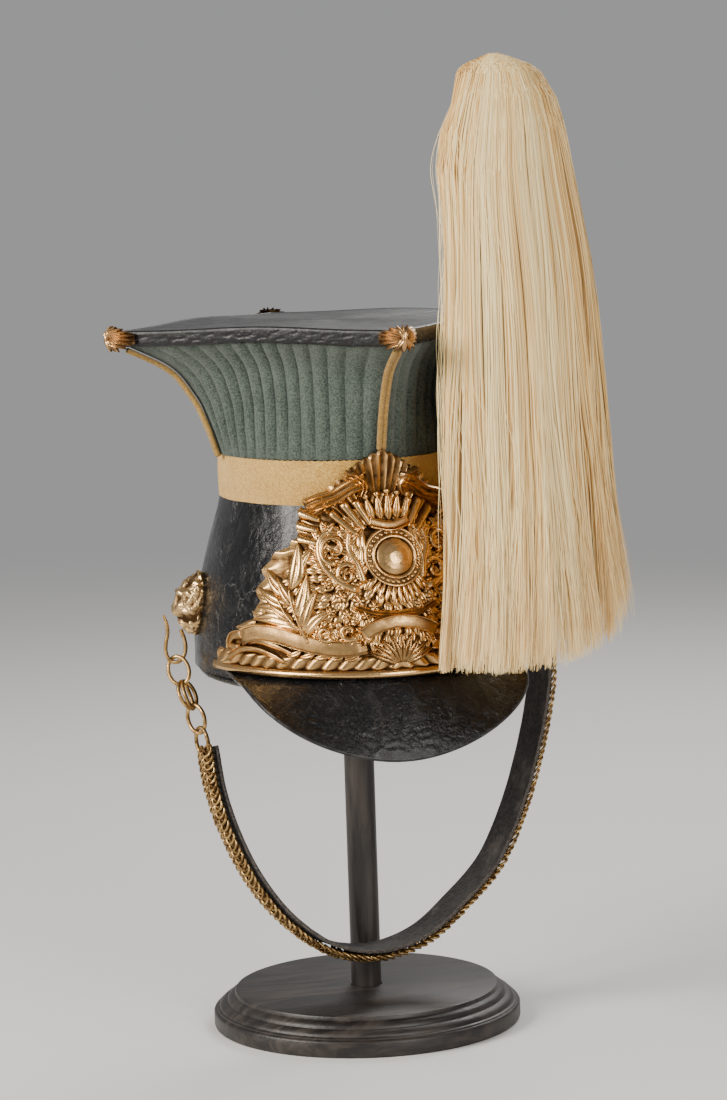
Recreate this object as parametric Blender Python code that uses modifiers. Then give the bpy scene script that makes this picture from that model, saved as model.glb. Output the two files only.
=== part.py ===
# Lancer's full dress cap with its plume and chin chain, on a turned wooden display stand.
# Metres, +Z up. The origin is the centre of the stand's foot. The cap faces -Y, and its
# wearer's left is +X, which is also the plume's side.
import math
from collections import namedtuple

import bmesh
import bpy
from mathutils import Matrix, Vector

mm = 0.001

# Clearances
SEAT_GAP = 0.3 * mm                # between two pieces that touch on the real cap
RIDE_GAP = 0.6 * mm                # under a curved piece that rides over another

# Stand
FOOT_RADIUS = 87.0 * mm
FOOT_HEIGHT = 20.2 * mm
FOOT_TOP_RADIUS = 74.4 * mm        # flat top face inside the moulded edge
POST_RADIUS = 8.5 * mm
POST_SOCKET_DEPTH = 12.0 * mm
PAD_RADIUS = 40.0 * mm             # mushroom head under the crown
PAD_DEPTH = 26.0 * mm

# Cap and skull
CAP_OFFSET = Vector((-7.0 * mm, 2.0 * mm, 0.0))     # the cap hangs a little off the post
RIM_HEIGHT = 207.0 * mm
SKULL_HEIGHT = 95.0 * mm           # from the rim up to the waist
WAIST_HEIGHT = RIM_HEIGHT + SKULL_HEIGHT
RIM_HALF_LENGTH = 102.0 * mm       # front to back
RIM_HALF_WIDTH = 78.5 * mm
WAIST_HALF_LENGTH = 76.0 * mm
WAIST_HALF_WIDTH = 61.5 * mm
LEATHER_WALL = 3.0 * mm
BINDING_RADIUS = 2.2 * mm          # rolled leather under the skull's rim
SKULL_SIDES = 32

# Peak
PEAK_LENGTH = 130.0 * mm           # its front edge, from the cap's axis
PEAK_DROP = 40.4 * mm
PEAK_HALF_WIDTH = 77.5 * mm
PEAK_WALL = 2.0 * mm
PEAK_SEAM = 5.0 * mm               # seam above the rim
PEAK_SKEW = -5.0 * mm              # the old peak leans to the wearer's right
PEAK_END_ANGLE = math.radians(75.0)

# Waist band
BAND_HEIGHT = 24.0 * mm
BAND_WALL = 1.5 * mm

# Cloth top
CLOTH_HEIGHT = 62.0 * mm
CLOTH_WALL = 2.5 * mm
CLOTH_CORNER_REACH = 116.0 * mm
CLOTH_SIDE_EASE = 4.5 * mm         # cloth outside the waist at its foot, at the sides
CLOTH_FRONT_EASE = 3.2 * mm
FLUTES_PER_FACE = 14
FLUTE_DEPTH = 1.3 * mm

# Top board
BOARD_HALF_DIAGONAL = 122.0 * mm
BOARD_THICKNESS = 8.6 * mm
BOARD_BOW = 2.2 * mm               # mid-sides ride higher than the corners
ORNAMENT_HALF_WIDTH = 15.0 * mm
ORNAMENT_HEIGHT = 14.0 * mm
ORNAMENT_BULGE = 4.5 * mm
ORNAMENT_WALL = 1.1 * mm
PIPING_RADIUS = 2.6 * mm
PIPING_HEAD = 0.95                 # share of the cloth's height where the corner cords end

# Plate
PLATE_HEIGHT = 120.0 * mm
PLATE_WALL = 1.8 * mm
PLATE_STAND_OFF = 1.6 * mm         # under the middle of its back, between skull and plate
RAY_DEPTH = 2.6 * mm
PLATE_FOOT_STEPS = 8               # from the middle of its foot to each lower corner
SHIELD_SHARE = 0.54                # centre of the shield, as a share of the plate's height
NOTCH = 0.93                       # how far the outline comes in between two rays
SHIELD_RADIUS = 17.0 * mm
SHIELD_BULGE = 6.0 * mm
WORK_FOOT = 0.35 * mm              # raised work starts inside the sheet, this far from its back

# Bosses, hooks and chin chain
BOSS_RADIUS = 17.5 * mm
BOSS_BULGE = 16.0 * mm
BOSS_HEIGHT = 35.0 * mm            # centre above the rim
BOSS_ANGLE = math.radians(101.0)   # from the front, round to each side
WIRE_RADIUS = 1.15 * mm
LINK_LENGTH = 19.0 * mm            # of the ring at the chain's end on the wearer's right
RING_HOLD = 5.0 * mm               # how far the rings at the ends reach over the chain
LINK_WIDTH = 14.5 * mm
LINK_TURNS = (96.0, 22.0, -19.0)
LINK_BITE = 0.6 * mm               # how far touching links are sunk into each other
STRAP_WIDTH = 21.0 * mm
STRAP_WALL = 2.2 * mm
CHAIN_WIDTH = 15.5 * mm
CHAIN_DEPTH = 3.4 * mm
CHAIN_PITCH = 8.0 * mm

# Rosette and plume
ROSETTE_RADIUS = 25.0 * mm
ROSETTE_WALL = 3.0 * mm
ROSETTE_SHARE = 0.527               # its middle, as a share of the cloth's height
ROSETTE_LEAN = math.radians(9.0)
BUTTON_RADIUS = 9.0 * mm
SOCKET_RADIUS = 2.4 * mm            # rod from the button to the plume's stem
PLUME_ANGLE = math.radians(45.0)   # from the front, towards the wearer's left
PLUME_AXIS = math.sqrt(0.5) * BOARD_HALF_DIAGONAL + 16.7 * mm   # the stem stands off the board
PLUME_LENGTH = 323.0 * mm
PLUME_FOOT = RIM_HEIGHT + 10.0 * mm
PLUME_TOP = PLUME_FOOT + PLUME_LENGTH
PLUME_FOOT_RISE = 20.0 * mm        # the outer locks end higher
PLUME_SPREAD = 68.0 * mm           # half-extent across at the foot
PLUME_DEPTH = 71.0 * mm            # outwards from the stem at the foot
PLUME_LOCKS = 13
LOCK_DEPTH = 0.06                  # share of the section that a lock's groove takes

SkullRow = namedtuple("SkullRow", "height reach")
SKULL_ROWS = (
    SkullRow(0.000, 1.00),
    SkullRow(0.260, 0.93),
    SkullRow(0.440, 0.79),
    SkullRow(0.590, 0.59),
    SkullRow(0.770, 0.35),
    SkullRow(0.905, 0.12),
    SkullRow(1.000, 0.00),
)
# Crown above the waist, under the cloth: height as a share of CROWN_RISE, size of the waist's.
CROWN_RISE = 34.0 * mm
CrownRow = namedtuple("CrownRow", "height size")
CROWN_ROWS = (
    CrownRow(0.50, 1.00),
    CrownRow(0.84, 0.78),
)
# Cloth sections: height share, corner reach share (waist to board), squareness.
ClothRow = namedtuple("ClothRow", "height reach square")
CLOTH_ROWS = (
    ClothRow(0.00, 0.00, 0.16),
    ClothRow(0.26, 0.11, 0.40),
    ClothRow(0.56, 0.29, 0.68),
    ClothRow(0.83, 0.59, 0.88),
    ClothRow(1.00, 1.00, 1.00),
)
# Outline of the plate: height share, half-angle round the cap in degrees.
PlateRow = namedtuple("PlateRow", "height half_angle")
PLATE_ROWS = (
    PlateRow(0.00, 77.5),
    PlateRow(0.15, 67.0),
    PlateRow(0.25, 56.0),
    PlateRow(0.39, 55.5),
    PlateRow(0.51, 52.5),
    PlateRow(0.60, 40.5),
    PlateRow(0.74, 35.0),
    PlateRow(0.86, 22.0),
    PlateRow(0.95, 10.0),
    PlateRow(1.00, 0.0),
)
# Plume sections: height share from the foot, and shares of PLUME_DEPTH inwards and
# outwards from the stem, and of PLUME_SPREAD across.
PlumeRow = namedtuple("PlumeRow", "height inner outer across")
PLUME_ROWS = (
    PlumeRow(0.000, 0.075, 1.00, 1.00),
    PlumeRow(0.070, 0.090, 0.98, 0.93),
    PlumeRow(0.240, 0.150, 0.91, 0.82),
    PlumeRow(0.410, 0.170, 0.85, 0.79),
    PlumeRow(0.520, 0.170, 0.81, 0.74),
    PlumeRow(0.650, 0.180, 0.75, 0.67),
    PlumeRow(0.760, 0.230, 0.66, 0.62),
    PlumeRow(0.820, 0.300, 0.61, 0.58),
    PlumeRow(0.880, 0.290, 0.55, 0.50),
    PlumeRow(0.940, 0.190, 0.44, 0.38),
    PlumeRow(0.985, 0.180, 0.24, 0.20),
)
# Route of the chin strap's middle, from the last open link on the wearer's right, down,
# in front of the post and up to the wearer's left, in millimetres, with heights from the rim.
STRAP_ROUTE = (
    (-86.9, 4.0, -44.0),
    (-84.4, -1.6, -68.0),
    (-78.6, -6.4, -90.0),
    (-67.5, -11.4, -115.5),
    (-50.0, -16.0, -139.4),
    (-26.5, -18.6, -156.6),
    (0.0, -19.2, -162.0),
    (26.5, -17.9, -155.8),
    (50.0, -15.0, -139.5),
    (70.4, -11.4, -121.4),
    (88.0, -5.4, -93.5),
    (101.0, 1.2, -64.0),
    (110.6, 8.0, -35.5),
    (114.8, 12.6, -17.0),
    (115.4, 16.6, -3.0),
    (110.4, 19.4, 7.4),
    (101.5, 21.2, 10.0),
)
STRAP_TWIST = (17.0, 13.0, 14.0)           # degrees at the start, foot and end


def smooth(share):
    """Ease from 0 to 1."""
    share = min(max(share, 0.0), 1.0)
    return share * share * (3.0 - 2.0 * share)


def table_value(rows, column, at, key="height"):
    """Straight-line reading of one column of a table of rows."""
    if at <= getattr(rows[0], key):
        return getattr(rows[0], column)
    for low, high in zip(rows, rows[1:]):
        top = getattr(high, key)
        if at <= top:
            bottom = getattr(low, key)
            share = (at - bottom) / (top - bottom)
            return getattr(low, column) * (1.0 - share) + getattr(high, column) * share
    return getattr(rows[-1], column)


def clear_scene():
    for thing in list(bpy.data.objects):
        bpy.data.objects.remove(thing, do_unlink=True)


def make_material(name, colour, roughness, metallic):
    material = bpy.data.materials.new(name)
    material.use_nodes = True
    shader = material.node_tree.nodes["Principled BSDF"]
    shader.inputs["Base Color"].default_value = (*colour, 1.0)
    shader.inputs["Roughness"].default_value = roughness
    shader.inputs["Metallic"].default_value = metallic
    material.diffuse_color = (*colour, 1.0)
    return material


def finish_mesh(bm, name, material, parent, sharp_angle=35.0):
    """Turn a bmesh into a named object of the cap."""
    bmesh.ops.recalc_face_normals(bm, faces=bm.faces)
    mesh = bpy.data.meshes.new(name)
    bm.to_mesh(mesh)
    bm.free()
    mesh.shade_smooth()
    mesh.set_sharp_from_angle(angle=math.radians(sharp_angle))
    return add_object(name, mesh, material, parent)


def add_object(name, data, material, parent):
    thing = bpy.data.objects.new(name, data)
    data.materials.clear()
    data.materials.append(material)
    parts.objects.link(thing)
    thing.parent = parent
    return thing


def loft(rings, closed=True, start_cap=False, end_cap=False, start_pole=None, end_pole=None, back_rows=0):
    """Skin through rows of points; each row is closed into a ring where closed is set.

    A thin sheet's back and front, whose rows mirror each other, are cut into triangles
    along the same diagonals; back_rows is then the number of rows in its back."""
    bm = bmesh.new()
    rows = [[bm.verts.new(point) for point in ring] for ring in rings]
    count = len(rows[0])
    last = count if closed else count - 1
    for k, (low, high) in enumerate(zip(rows, rows[1:])):
        for i in range(last):
            j = (i + 1) % count
            if not back_rows:
                bm.faces.new((low[i], low[j], high[j], high[i]))
            elif k < back_rows:
                bm.faces.new((low[i], low[j], high[j]))
                bm.faces.new((low[i], high[j], high[i]))
            else:
                bm.faces.new((low[i], low[j], high[i]))
                bm.faces.new((low[j], high[j], high[i]))
    if start_cap:
        bm.faces.new(list(reversed(rows[0])))
    if end_cap:
        bm.faces.new(rows[-1])
    for pole, row, turn in ((start_pole, rows[0], -1), (end_pole, rows[-1], 1)):
        if pole is None:
            continue
        tip = bm.verts.new(pole)
        for i in range(last):
            j = (i + 1) % count
            bm.faces.new((row[i], row[j], tip) if turn > 0 else (row[j], row[i], tip))
    return bm


def thicken(thing, wall):
    """Give an open surface its wall, on its inner side."""
    shell = thing.modifiers.new("wall", "SOLIDIFY")
    shell.thickness = wall
    shell.offset = -1.0
    return thing


def turned(name, profile, steps, material, parent, ring=False):
    """Turned piece: profile of (radius, height) from top to bottom, with a Screw modifier."""
    bm = bmesh.new()
    verts = [bm.verts.new((radius, 0.0, height)) for radius, height in profile]
    for low, high in zip(verts, verts[1:]):
        bm.edges.new((low, high))
    if ring:
        bm.edges.new((verts[-1], verts[0]))
    mesh = bpy.data.meshes.new(name)
    bm.to_mesh(mesh)
    bm.free()
    thing = add_object(name, mesh, material, parent)
    screw = thing.modifiers.new("turned", "SCREW")
    screw.steps = steps
    screw.render_steps = steps
    screw.use_merge_vertices = True
    screw.merge_threshold = 0.00001
    screw.use_smooth_shade = True
    return thing


def wire(name, points, radius, material, parent, cyclic=False, resolution=1):
    """Round wire, cord or rod through points."""
    curve = bpy.data.curves.new(name, "CURVE")
    curve.dimensions = "3D"
    curve.bevel_depth = radius
    curve.bevel_resolution = resolution
    curve.use_fill_caps = True
    spline = curve.splines.new("POLY")
    spline.points.add(len(points) - 1)
    for slot, point in zip(spline.points, points):
        slot.co = (*point, 1.0)
    spline.use_cyclic_u = cyclic
    return add_object(name, curve, material, parent)


def as_mesh(thing):
    """Evaluated copy of an object as a welded mesh, in place of the object."""
    bpy.context.view_layer.update()
    graph = bpy.context.evaluated_depsgraph_get()
    mesh = bpy.data.meshes.new_from_object(thing.evaluated_get(graph))
    bm = bmesh.new()
    bm.from_mesh(mesh)
    bmesh.ops.remove_doubles(bm, verts=bm.verts, dist=0.00001)
    bmesh.ops.recalc_face_normals(bm, faces=bm.faces)
    bm.to_mesh(mesh)
    bm.free()
    name = thing.name
    parent = thing.parent
    place = thing.matrix_basis.copy()
    bpy.data.objects.remove(thing, do_unlink=True)
    copy = bpy.data.objects.new(name, mesh)
    parts.objects.link(copy)
    copy.parent = parent
    copy.matrix_basis = place
    return copy


def fuse(base, pieces):
    """Join closed pieces to a closed base with Boolean unions, one after another."""
    bpy.context.view_layer.update()
    for piece in pieces:
        joint = base.modifiers.new("joined", "BOOLEAN")
        joint.operation = "UNION"
        joint.object = piece
        cutters.objects.link(piece)
        parts.objects.unlink(piece)
        piece.hide_render = True
        piece.display_type = "WIRE"
    return base


def drop_trapped_space(thing):
    """Keep only the outer skin of a union: slivers of space shut in between pieces go."""
    bpy.context.view_layer.update()
    graph = bpy.context.evaluated_depsgraph_get()
    mesh = bpy.data.meshes.new_from_object(thing.evaluated_get(graph))
    bm = bmesh.new()
    bm.from_mesh(mesh)
    shells = []
    seen = set()
    for start in bm.faces:
        if start in seen:
            continue
        seen.add(start)
        shell = [start]
        for face in shell:
            for edge in face.edges:
                fresh = [other for other in edge.link_faces if other not in seen]
                seen.update(fresh)
                shell += fresh
        shells.append(shell)
    outer = max(shells, key=len)
    inner = [face for shell in shells if shell is not outer for face in shell]
    bmesh.ops.delete(bm, geom=inner, context="FACES")
    bm.to_mesh(mesh)
    bm.free()
    thing.modifiers.clear()
    thing.data = mesh
    return thing


def smooth_route(points, spacing):
    """Points every spacing along a smooth curve through the given ones."""
    dense = []
    for i in range(len(points) - 1):
        before = points[max(i - 1, 0)]
        after = points[min(i + 2, len(points) - 1)]
        start, end = points[i], points[i + 1]
        for step in range(12):
            t = step / 12.0
            dense.append(0.5 * (2.0 * start + (end - before) * t
                                + (2.0 * before - 5.0 * start + 4.0 * end - after) * t ** 2
                                + (3.0 * start - before - 3.0 * end + after) * t ** 3))
    dense.append(points[-1])
    lengths = [0.0]
    for low, high in zip(dense, dense[1:]):
        lengths.append(lengths[-1] + (high - low).length)
    count = max(2, round(lengths[-1] / spacing))
    route = []
    at = 0
    for i in range(count + 1):
        want = lengths[-1] * i / count
        while at < len(dense) - 2 and lengths[at + 1] < want:
            at += 1
        share = (want - lengths[at]) / (lengths[at + 1] - lengths[at])
        route.append(dense[at].lerp(dense[at + 1], share))
    return route


# Shapes that several pieces share

def skull_axes(z):
    """Half length and half width of the skull's outer face at a height."""
    share = (z - RIM_HEIGHT) / SKULL_HEIGHT
    reach = table_value(SKULL_ROWS, "reach", share)
    half_length = WAIST_HALF_LENGTH + reach * (RIM_HALF_LENGTH - WAIST_HALF_LENGTH)
    half_width = WAIST_HALF_WIDTH + reach * (RIM_HALF_WIDTH - WAIST_HALF_WIDTH)
    return half_length, half_width


def skull_point(angle, z, out=0.0):
    """Point out from the skull; the angle runs from the front to the wearer's left."""
    half_length, half_width = skull_axes(z)
    return Vector(((half_width + out) * math.sin(angle), -(half_length + out) * math.cos(angle), z))


def skull_frame(angle, z, out=0.0):
    """Place on the skull with its Z outwards, Y up the wall and X towards the wearer's left."""
    step = 0.5 * mm
    across = (skull_point(angle + 0.01, z) - skull_point(angle - 0.01, z)).normalized()
    up = (skull_point(angle, z + 8 * step) - skull_point(angle, z - 8 * step)).normalized()
    face = across.cross(up).normalized()
    up = face.cross(across).normalized()
    turn = Matrix((across, up, face)).transposed().to_4x4()
    return Matrix.Translation(skull_point(angle, z) + face * out) @ turn


BAND_FOOT = WAIST_HEIGHT
BAND_TOP = BAND_FOOT + BAND_HEIGHT
BAND_OUT = SEAT_GAP + BAND_WALL
CLOTH_FOOT = BAND_TOP + SEAT_GAP
CLOTH_HEAD = CLOTH_FOOT + CLOTH_HEIGHT
BOARD_FOOT = CLOTH_HEAD + SEAT_GAP
BOARD_HEAD = BOARD_FOOT + BOARD_THICKNESS


def board_bow(angle):
    """Lift of the board and of the cloth's upper edge between the corners."""
    return BOARD_BOW * math.sin(2.0 * angle) ** 2


def cloth_reach(angle, share):
    """Distance of the cloth's plain outer face from the cap's axis, without its flutes."""
    reach = table_value(CLOTH_ROWS, "reach", share)
    square = table_value(CLOTH_ROWS, "square", share)
    side = (WAIST_HALF_WIDTH + CLOTH_SIDE_EASE) * (1.0 - reach) + CLOTH_CORNER_REACH * reach
    front = (WAIST_HALF_LENGTH + CLOTH_FRONT_EASE) * (1.0 - reach) + CLOTH_CORNER_REACH * reach
    across, along = abs(math.sin(angle)), abs(math.cos(angle))
    oval = 1.0 / math.sqrt((across / side) ** 2 + (along / front) ** 2)
    straight = 1.0 / (across / side + along / front)
    return oval * (1.0 - square) + straight * square


def cloth_point(angle, share, out=0.0):
    radius = cloth_reach(angle, share) + out
    z = CLOTH_FOOT + share * CLOTH_HEIGHT + board_bow(angle) * share ** 3
    return Vector((radius * math.sin(angle), -radius * math.cos(angle), z))


def cloth_out_at_front(z):
    """How far the cloth's front corner stands outside the skull's waist at a height."""
    share = (z - CLOTH_FOOT) / CLOTH_HEIGHT
    return cloth_reach(0.0, max(share, 0.0)) + FLUTE_DEPTH - WAIST_HALF_LENGTH


# Stand

def build_stand(wood):
    top = FOOT_HEIGHT
    edge = FOOT_RADIUS - FOOT_TOP_RADIUS
    socket = POST_RADIUS + SEAT_GAP
    socket_floor = top - POST_SOCKET_DEPTH
    profile = [
        (0.0, socket_floor),
        (socket, socket_floor),
        (socket, top),
        (FOOT_TOP_RADIUS, top),
        (FOOT_TOP_RADIUS + 0.24 * edge, top - 0.09 * top),
        (FOOT_TOP_RADIUS + 0.30 * edge, top - 0.24 * top),
        (FOOT_TOP_RADIUS + 0.72 * edge, top - 0.38 * top),
        (FOOT_TOP_RADIUS + 0.90 * edge, top - 0.60 * top),
        (FOOT_RADIUS, top - 0.70 * top),
        (FOOT_RADIUS, 0.06 * top),
        (FOOT_RADIUS - 0.08 * edge, 0.0),
        (0.0, 0.0),
    ]
    turned("stand_foot", profile, 28, wood, stand)
    crown_inside = WAIST_HEIGHT + CROWN_RISE - LEATHER_WALL
    pad_top = crown_inside - RIDE_GAP - 0.15 * CAP_OFFSET.length
    profile = [
        (0.0, pad_top),
        (0.45 * PAD_RADIUS, pad_top - 0.06 * PAD_DEPTH),
        (0.80 * PAD_RADIUS, pad_top - 0.30 * PAD_DEPTH),
        (PAD_RADIUS, pad_top - 0.58 * PAD_DEPTH),
        (0.97 * PAD_RADIUS, pad_top - 0.80 * PAD_DEPTH),
        (POST_RADIUS, pad_top - PAD_DEPTH),
        (POST_RADIUS, socket_floor + SEAT_GAP),
        (0.0, socket_floor + SEAT_GAP),
    ]
    turned("stand_post", profile, 20, wood, stand)


# Skull, binding and peak

def build_skull(leather):
    rings = []
    for row in SKULL_ROWS:
        z = RIM_HEIGHT + row.height * SKULL_HEIGHT
        rings.append([skull_point(2.0 * math.pi * i / SKULL_SIDES, z) for i in range(SKULL_SIDES)])
    for row in CROWN_ROWS:
        z = WAIST_HEIGHT + row.height * CROWN_RISE
        ring = [skull_point(2.0 * math.pi * i / SKULL_SIDES, WAIST_HEIGHT) for i in range(SKULL_SIDES)]
        rings.append([Vector((point.x * row.size, point.y * row.size, z)) for point in ring])
    pole = Vector((0.0, 0.0, WAIST_HEIGHT + CROWN_RISE))
    skull = finish_mesh(loft(rings, end_pole=pole), "skull", leather, cap)
    thicken(skull, LEATHER_WALL)


def build_binding(leather):
    rings = []
    sides = 4
    z = RIM_HEIGHT - SEAT_GAP - BINDING_RADIUS
    for i in range(SKULL_SIDES):
        angle = 2.0 * math.pi * i / SKULL_SIDES
        centre = skull_point(angle, RIM_HEIGHT, -0.5 * LEATHER_WALL)
        outward = Vector((math.sin(angle), -math.cos(angle), 0.0))
        ring = []
        for k in range(sides):
            turn = 2.0 * math.pi * k / sides
            spot = outward * (BINDING_RADIUS * math.cos(turn))
            ring.append(Vector((centre.x + spot.x, centre.y + spot.y, z + BINDING_RADIUS * math.sin(turn))))
        rings.append(ring)
    rings.append(rings[0])
    bm = loft(rings)
    bmesh.ops.remove_doubles(bm, verts=bm.verts, dist=0.00001)
    finish_mesh(bm, "rim_binding", leather, cap)


def peak_edge(share):
    """Outer edge of the peak; the share runs from -1 at the wearer's right to 1."""
    turn = share * math.radians(84.0)
    across = PEAK_HALF_WIDTH * math.sin(turn) * (1.0 + 0.073 * math.sin(2.0 * abs(turn)))
    back = PEAK_HALF_WIDTH * 0.36
    forward = back + (PEAK_LENGTH - back) * math.cos(turn) ** 0.38
    z = RIM_HEIGHT + PEAK_SEAM - PEAK_DROP * math.cos(turn) ** 1.62
    return Vector((across + PEAK_SKEW * math.cos(turn), -forward, z))


def build_peak(leather):
    columns = 22
    rows = 3
    seam_out = PEAK_WALL + 2.0 * SEAT_GAP
    grid = []
    for row in range(rows + 1):
        share = row / rows
        line = []
        for i in range(columns + 1):
            side = 2.0 * i / columns - 1.0
            seam = skull_point(side * PEAK_END_ANGLE, RIM_HEIGHT + PEAK_SEAM, seam_out)
            edge = peak_edge(side)
            point = seam.lerp(edge, share)
            middle = 4.0 * share * (1.0 - share) * math.cos(side * math.pi / 2.0)
            outward = Vector((edge.x - seam.x, edge.y - seam.y, 0.0))
            point += outward.normalized() * (2.6 * mm * middle)
            line.append(point)
        grid.append(line)
    peak = finish_mesh(loft(grid, closed=False), "peak", leather, cap)
    if peak.data.polygons[len(peak.data.polygons) // 2].normal.y > 0.0:
        peak.data.flip_normals()
    thicken(peak, PEAK_WALL)


def build_band(lace):
    rings = []
    for z in (BAND_FOOT, BAND_TOP):
        rings.append([skull_point(2.0 * math.pi * i / SKULL_SIDES, WAIST_HEIGHT, BAND_OUT)
                      for i in range(SKULL_SIDES)])
        for point in rings[-1]:
            point.z = z
    band = finish_mesh(loft(rings), "waist_band", lace, cap)
    thicken(band, BAND_WALL)


# Cloth top, board, corners

def cloth_ring(row, columns, out, fluted):
    ring = []
    for i in range(columns):
        angle = 2.0 * math.pi * i / columns
        face_share = (angle % (math.pi / 2.0)) / (math.pi / 2.0)
        away = smooth(min(face_share, 1.0 - face_share) * FLUTES_PER_FACE)
        crest = FLUTE_DEPTH * away if fluted and i % 2 else 0.0
        ring.append(cloth_point(angle, row.height, out + crest))
    return ring


def build_cloth(cloth):
    """Fluted outer face and plain inner face, bridged at the foot and the head."""
    columns = 4 * FLUTES_PER_FACE * 2
    bm = loft([cloth_ring(row, columns, 0.0, True) for row in CLOTH_ROWS])
    inner = loft([cloth_ring(row, columns // 4, -CLOTH_WALL, False) for row in CLOTH_ROWS])
    bmesh.ops.reverse_faces(inner, faces=inner.faces)
    mesh = bpy.data.meshes.new("cloth_inner")
    inner.to_mesh(mesh)
    inner.free()
    bm.from_mesh(mesh)
    bpy.data.meshes.remove(mesh)
    for z in (CLOTH_FOOT, CLOTH_HEAD):
        rim = [edge for edge in bm.edges if edge.is_boundary
               and all(abs(vert.co.z - z) < 0.2 * CLOTH_HEIGHT for vert in edge.verts)]
        bmesh.ops.bridge_loops(bm, edges=rim)
    finish_mesh(bm, "cloth_top", cloth, cap, 60.0)


def board_point(angle, size, z):
    """Point of a square board whose corners look to the front, back and sides."""
    radius = size / (abs(math.sin(angle)) + abs(math.cos(angle)))
    return Vector((radius * math.sin(angle), -radius * math.cos(angle), z + board_bow(angle)))


def build_board(leather):
    per_side = 6
    columns = 4 * per_side
    angles = [math.atan2(*square_share(i, per_side)) for i in range(columns)]
    rings = []
    hollow = 0.14 * BOARD_THICKNESS
    groove = 0.08 * BOARD_THICKNESS
    rows = (
        (0.55, BOARD_FOOT + hollow),
        (0.955, BOARD_FOOT),
        (1.0, BOARD_FOOT + 0.22 * BOARD_THICKNESS),
        (1.0, BOARD_HEAD - 0.16 * BOARD_THICKNESS),
        (0.985, BOARD_HEAD),
        (0.93, BOARD_HEAD),
        (0.90, BOARD_HEAD - groove),
    )
    for size, z in rows:
        rings.append([board_point(angle, size * BOARD_HALF_DIAGONAL, z) for angle in angles])
    top = Vector((0.0, 0.0, BOARD_HEAD + 0.5 * BOARD_BOW))
    foot = Vector((0.0, 0.0, BOARD_FOOT + hollow + 0.5 * BOARD_BOW))
    bm = loft(rings, start_pole=foot, end_pole=top)
    finish_mesh(bm, "top_board", leather, cap)


def square_share(i, per_side):
    """Even steps along the sides of a square that stands on its corner."""
    side, step = divmod(i, per_side)
    share = step / per_side
    corners = ((0.0, 1.0), (1.0, 0.0), (0.0, -1.0), (-1.0, 0.0))
    start, end = corners[side], corners[(side + 1) % 4]
    return (start[0] * (1.0 - share) + end[0] * share, start[1] * (1.0 - share) + end[1] * share)


def build_corner_ornament(name, angle, brass):
    """Gilt leaf tip that wraps one corner of the board."""
    columns = 8
    rows = 3
    grid = []
    middle = BOARD_FOOT + 0.5 * BOARD_THICKNESS
    half = math.sqrt(0.5)
    tip = BOARD_HALF_DIAGONAL + (SEAT_GAP + RIDE_GAP) * math.sqrt(2.0) + ORNAMENT_WALL
    for row in range(rows + 1):
        up = 2.0 * row / rows - 1.0
        line = []
        for i in range(columns + 1):
            side = 2.0 * i / columns - 1.0
            along = abs(side) * ORNAMENT_HALF_WIDTH
            rib = 0.72 + 0.28 * math.cos(4.0 * math.pi * side)
            bulge = ORNAMENT_BULGE * (1.0 - side ** 2) * (1.0 - 0.55 * up ** 2) * rib
            x = math.copysign(along * half, side) if i != columns // 2 else 0.0
            y = -(tip - along * half + bulge)
            height = 0.5 * ORNAMENT_HEIGHT * (1.0 - 0.55 * abs(side) ** 1.5)
            line.append(Vector((x + math.copysign(0.4 * bulge * abs(side), side), y,
                                middle + up * height + board_bow(abs(side) * 0.12))))
        grid.append(line)
    bm = loft(grid, closed=False)
    bmesh.ops.rotate(bm, verts=bm.verts, cent=(0.0, 0.0, 0.0), matrix=Matrix.Rotation(angle, 3, "Z"))
    ornament = finish_mesh(bm, name, brass, cap)
    middle_face = ornament.data.polygons[len(ornament.data.polygons) // 2]
    if middle_face.normal.dot(Vector((middle_face.center.x, middle_face.center.y, 0.0))) < 0.0:
        ornament.data.flip_normals()
    thicken(ornament, ORNAMENT_WALL)


def build_corner_piping(name, angle, foot_share, cord):
    """Cord that covers the seam at one corner of the cloth."""
    steps = 8
    out = PIPING_RADIUS + SEAT_GAP
    points = []
    for i in range(steps + 1):
        share = foot_share + (PIPING_HEAD - foot_share) * i / steps
        slope = cloth_point(angle, min(share + 0.04, 1.0)) - cloth_point(angle, share - 0.04)
        outward = Vector((math.sin(angle), -math.cos(angle), 0.0))
        normal = (outward * slope.z - Vector((0.0, 0.0, slope.dot(outward)))).normalized()
        points.append(cloth_point(angle, share) + normal * out)
    wire(name, points, PIPING_RADIUS, cord, cap, resolution=1)


# Plate

PLATE_FOOT = RIM_HEIGHT + PEAK_SEAM + SEAT_GAP
PLATE_TIP = PLATE_FOOT + PLATE_HEIGHT


def plate_seat(z):
    """Gap between the skull's face and the back of the plate, which clears the waist band."""
    low = PEAK_WALL + 3.0 * SEAT_GAP
    free = RIDE_GAP + PLATE_STAND_OFF
    over_band = BAND_OUT + RIDE_GAP
    if z < PLATE_FOOT + 14.0 * mm:
        share = smooth((z - PLATE_FOOT) / (14.0 * mm))
        return low * (1.0 - share) + free * share
    if z < BAND_TOP - 3.0 * mm:
        share = smooth((z - BAND_FOOT + 9.0 * mm) / (8.0 * mm))
        return free * (1.0 - share) + over_band * share
    share = smooth((z - BAND_TOP + 3.0 * mm) / (2.5 * mm))
    return over_band * (1.0 - share) + (cloth_out_at_front(z) + RIDE_GAP) * share


def plate_point(angle, z, out):
    """Point on the plate, out from its back."""
    return skull_point(angle, z, plate_seat(z) + out)


def arc_length(angle, z):
    """Length along the skull for one radian at an angle and a height."""
    half_length, half_width = skull_axes(z)
    return math.hypot(half_width * math.cos(angle), half_length * math.sin(angle))


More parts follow.
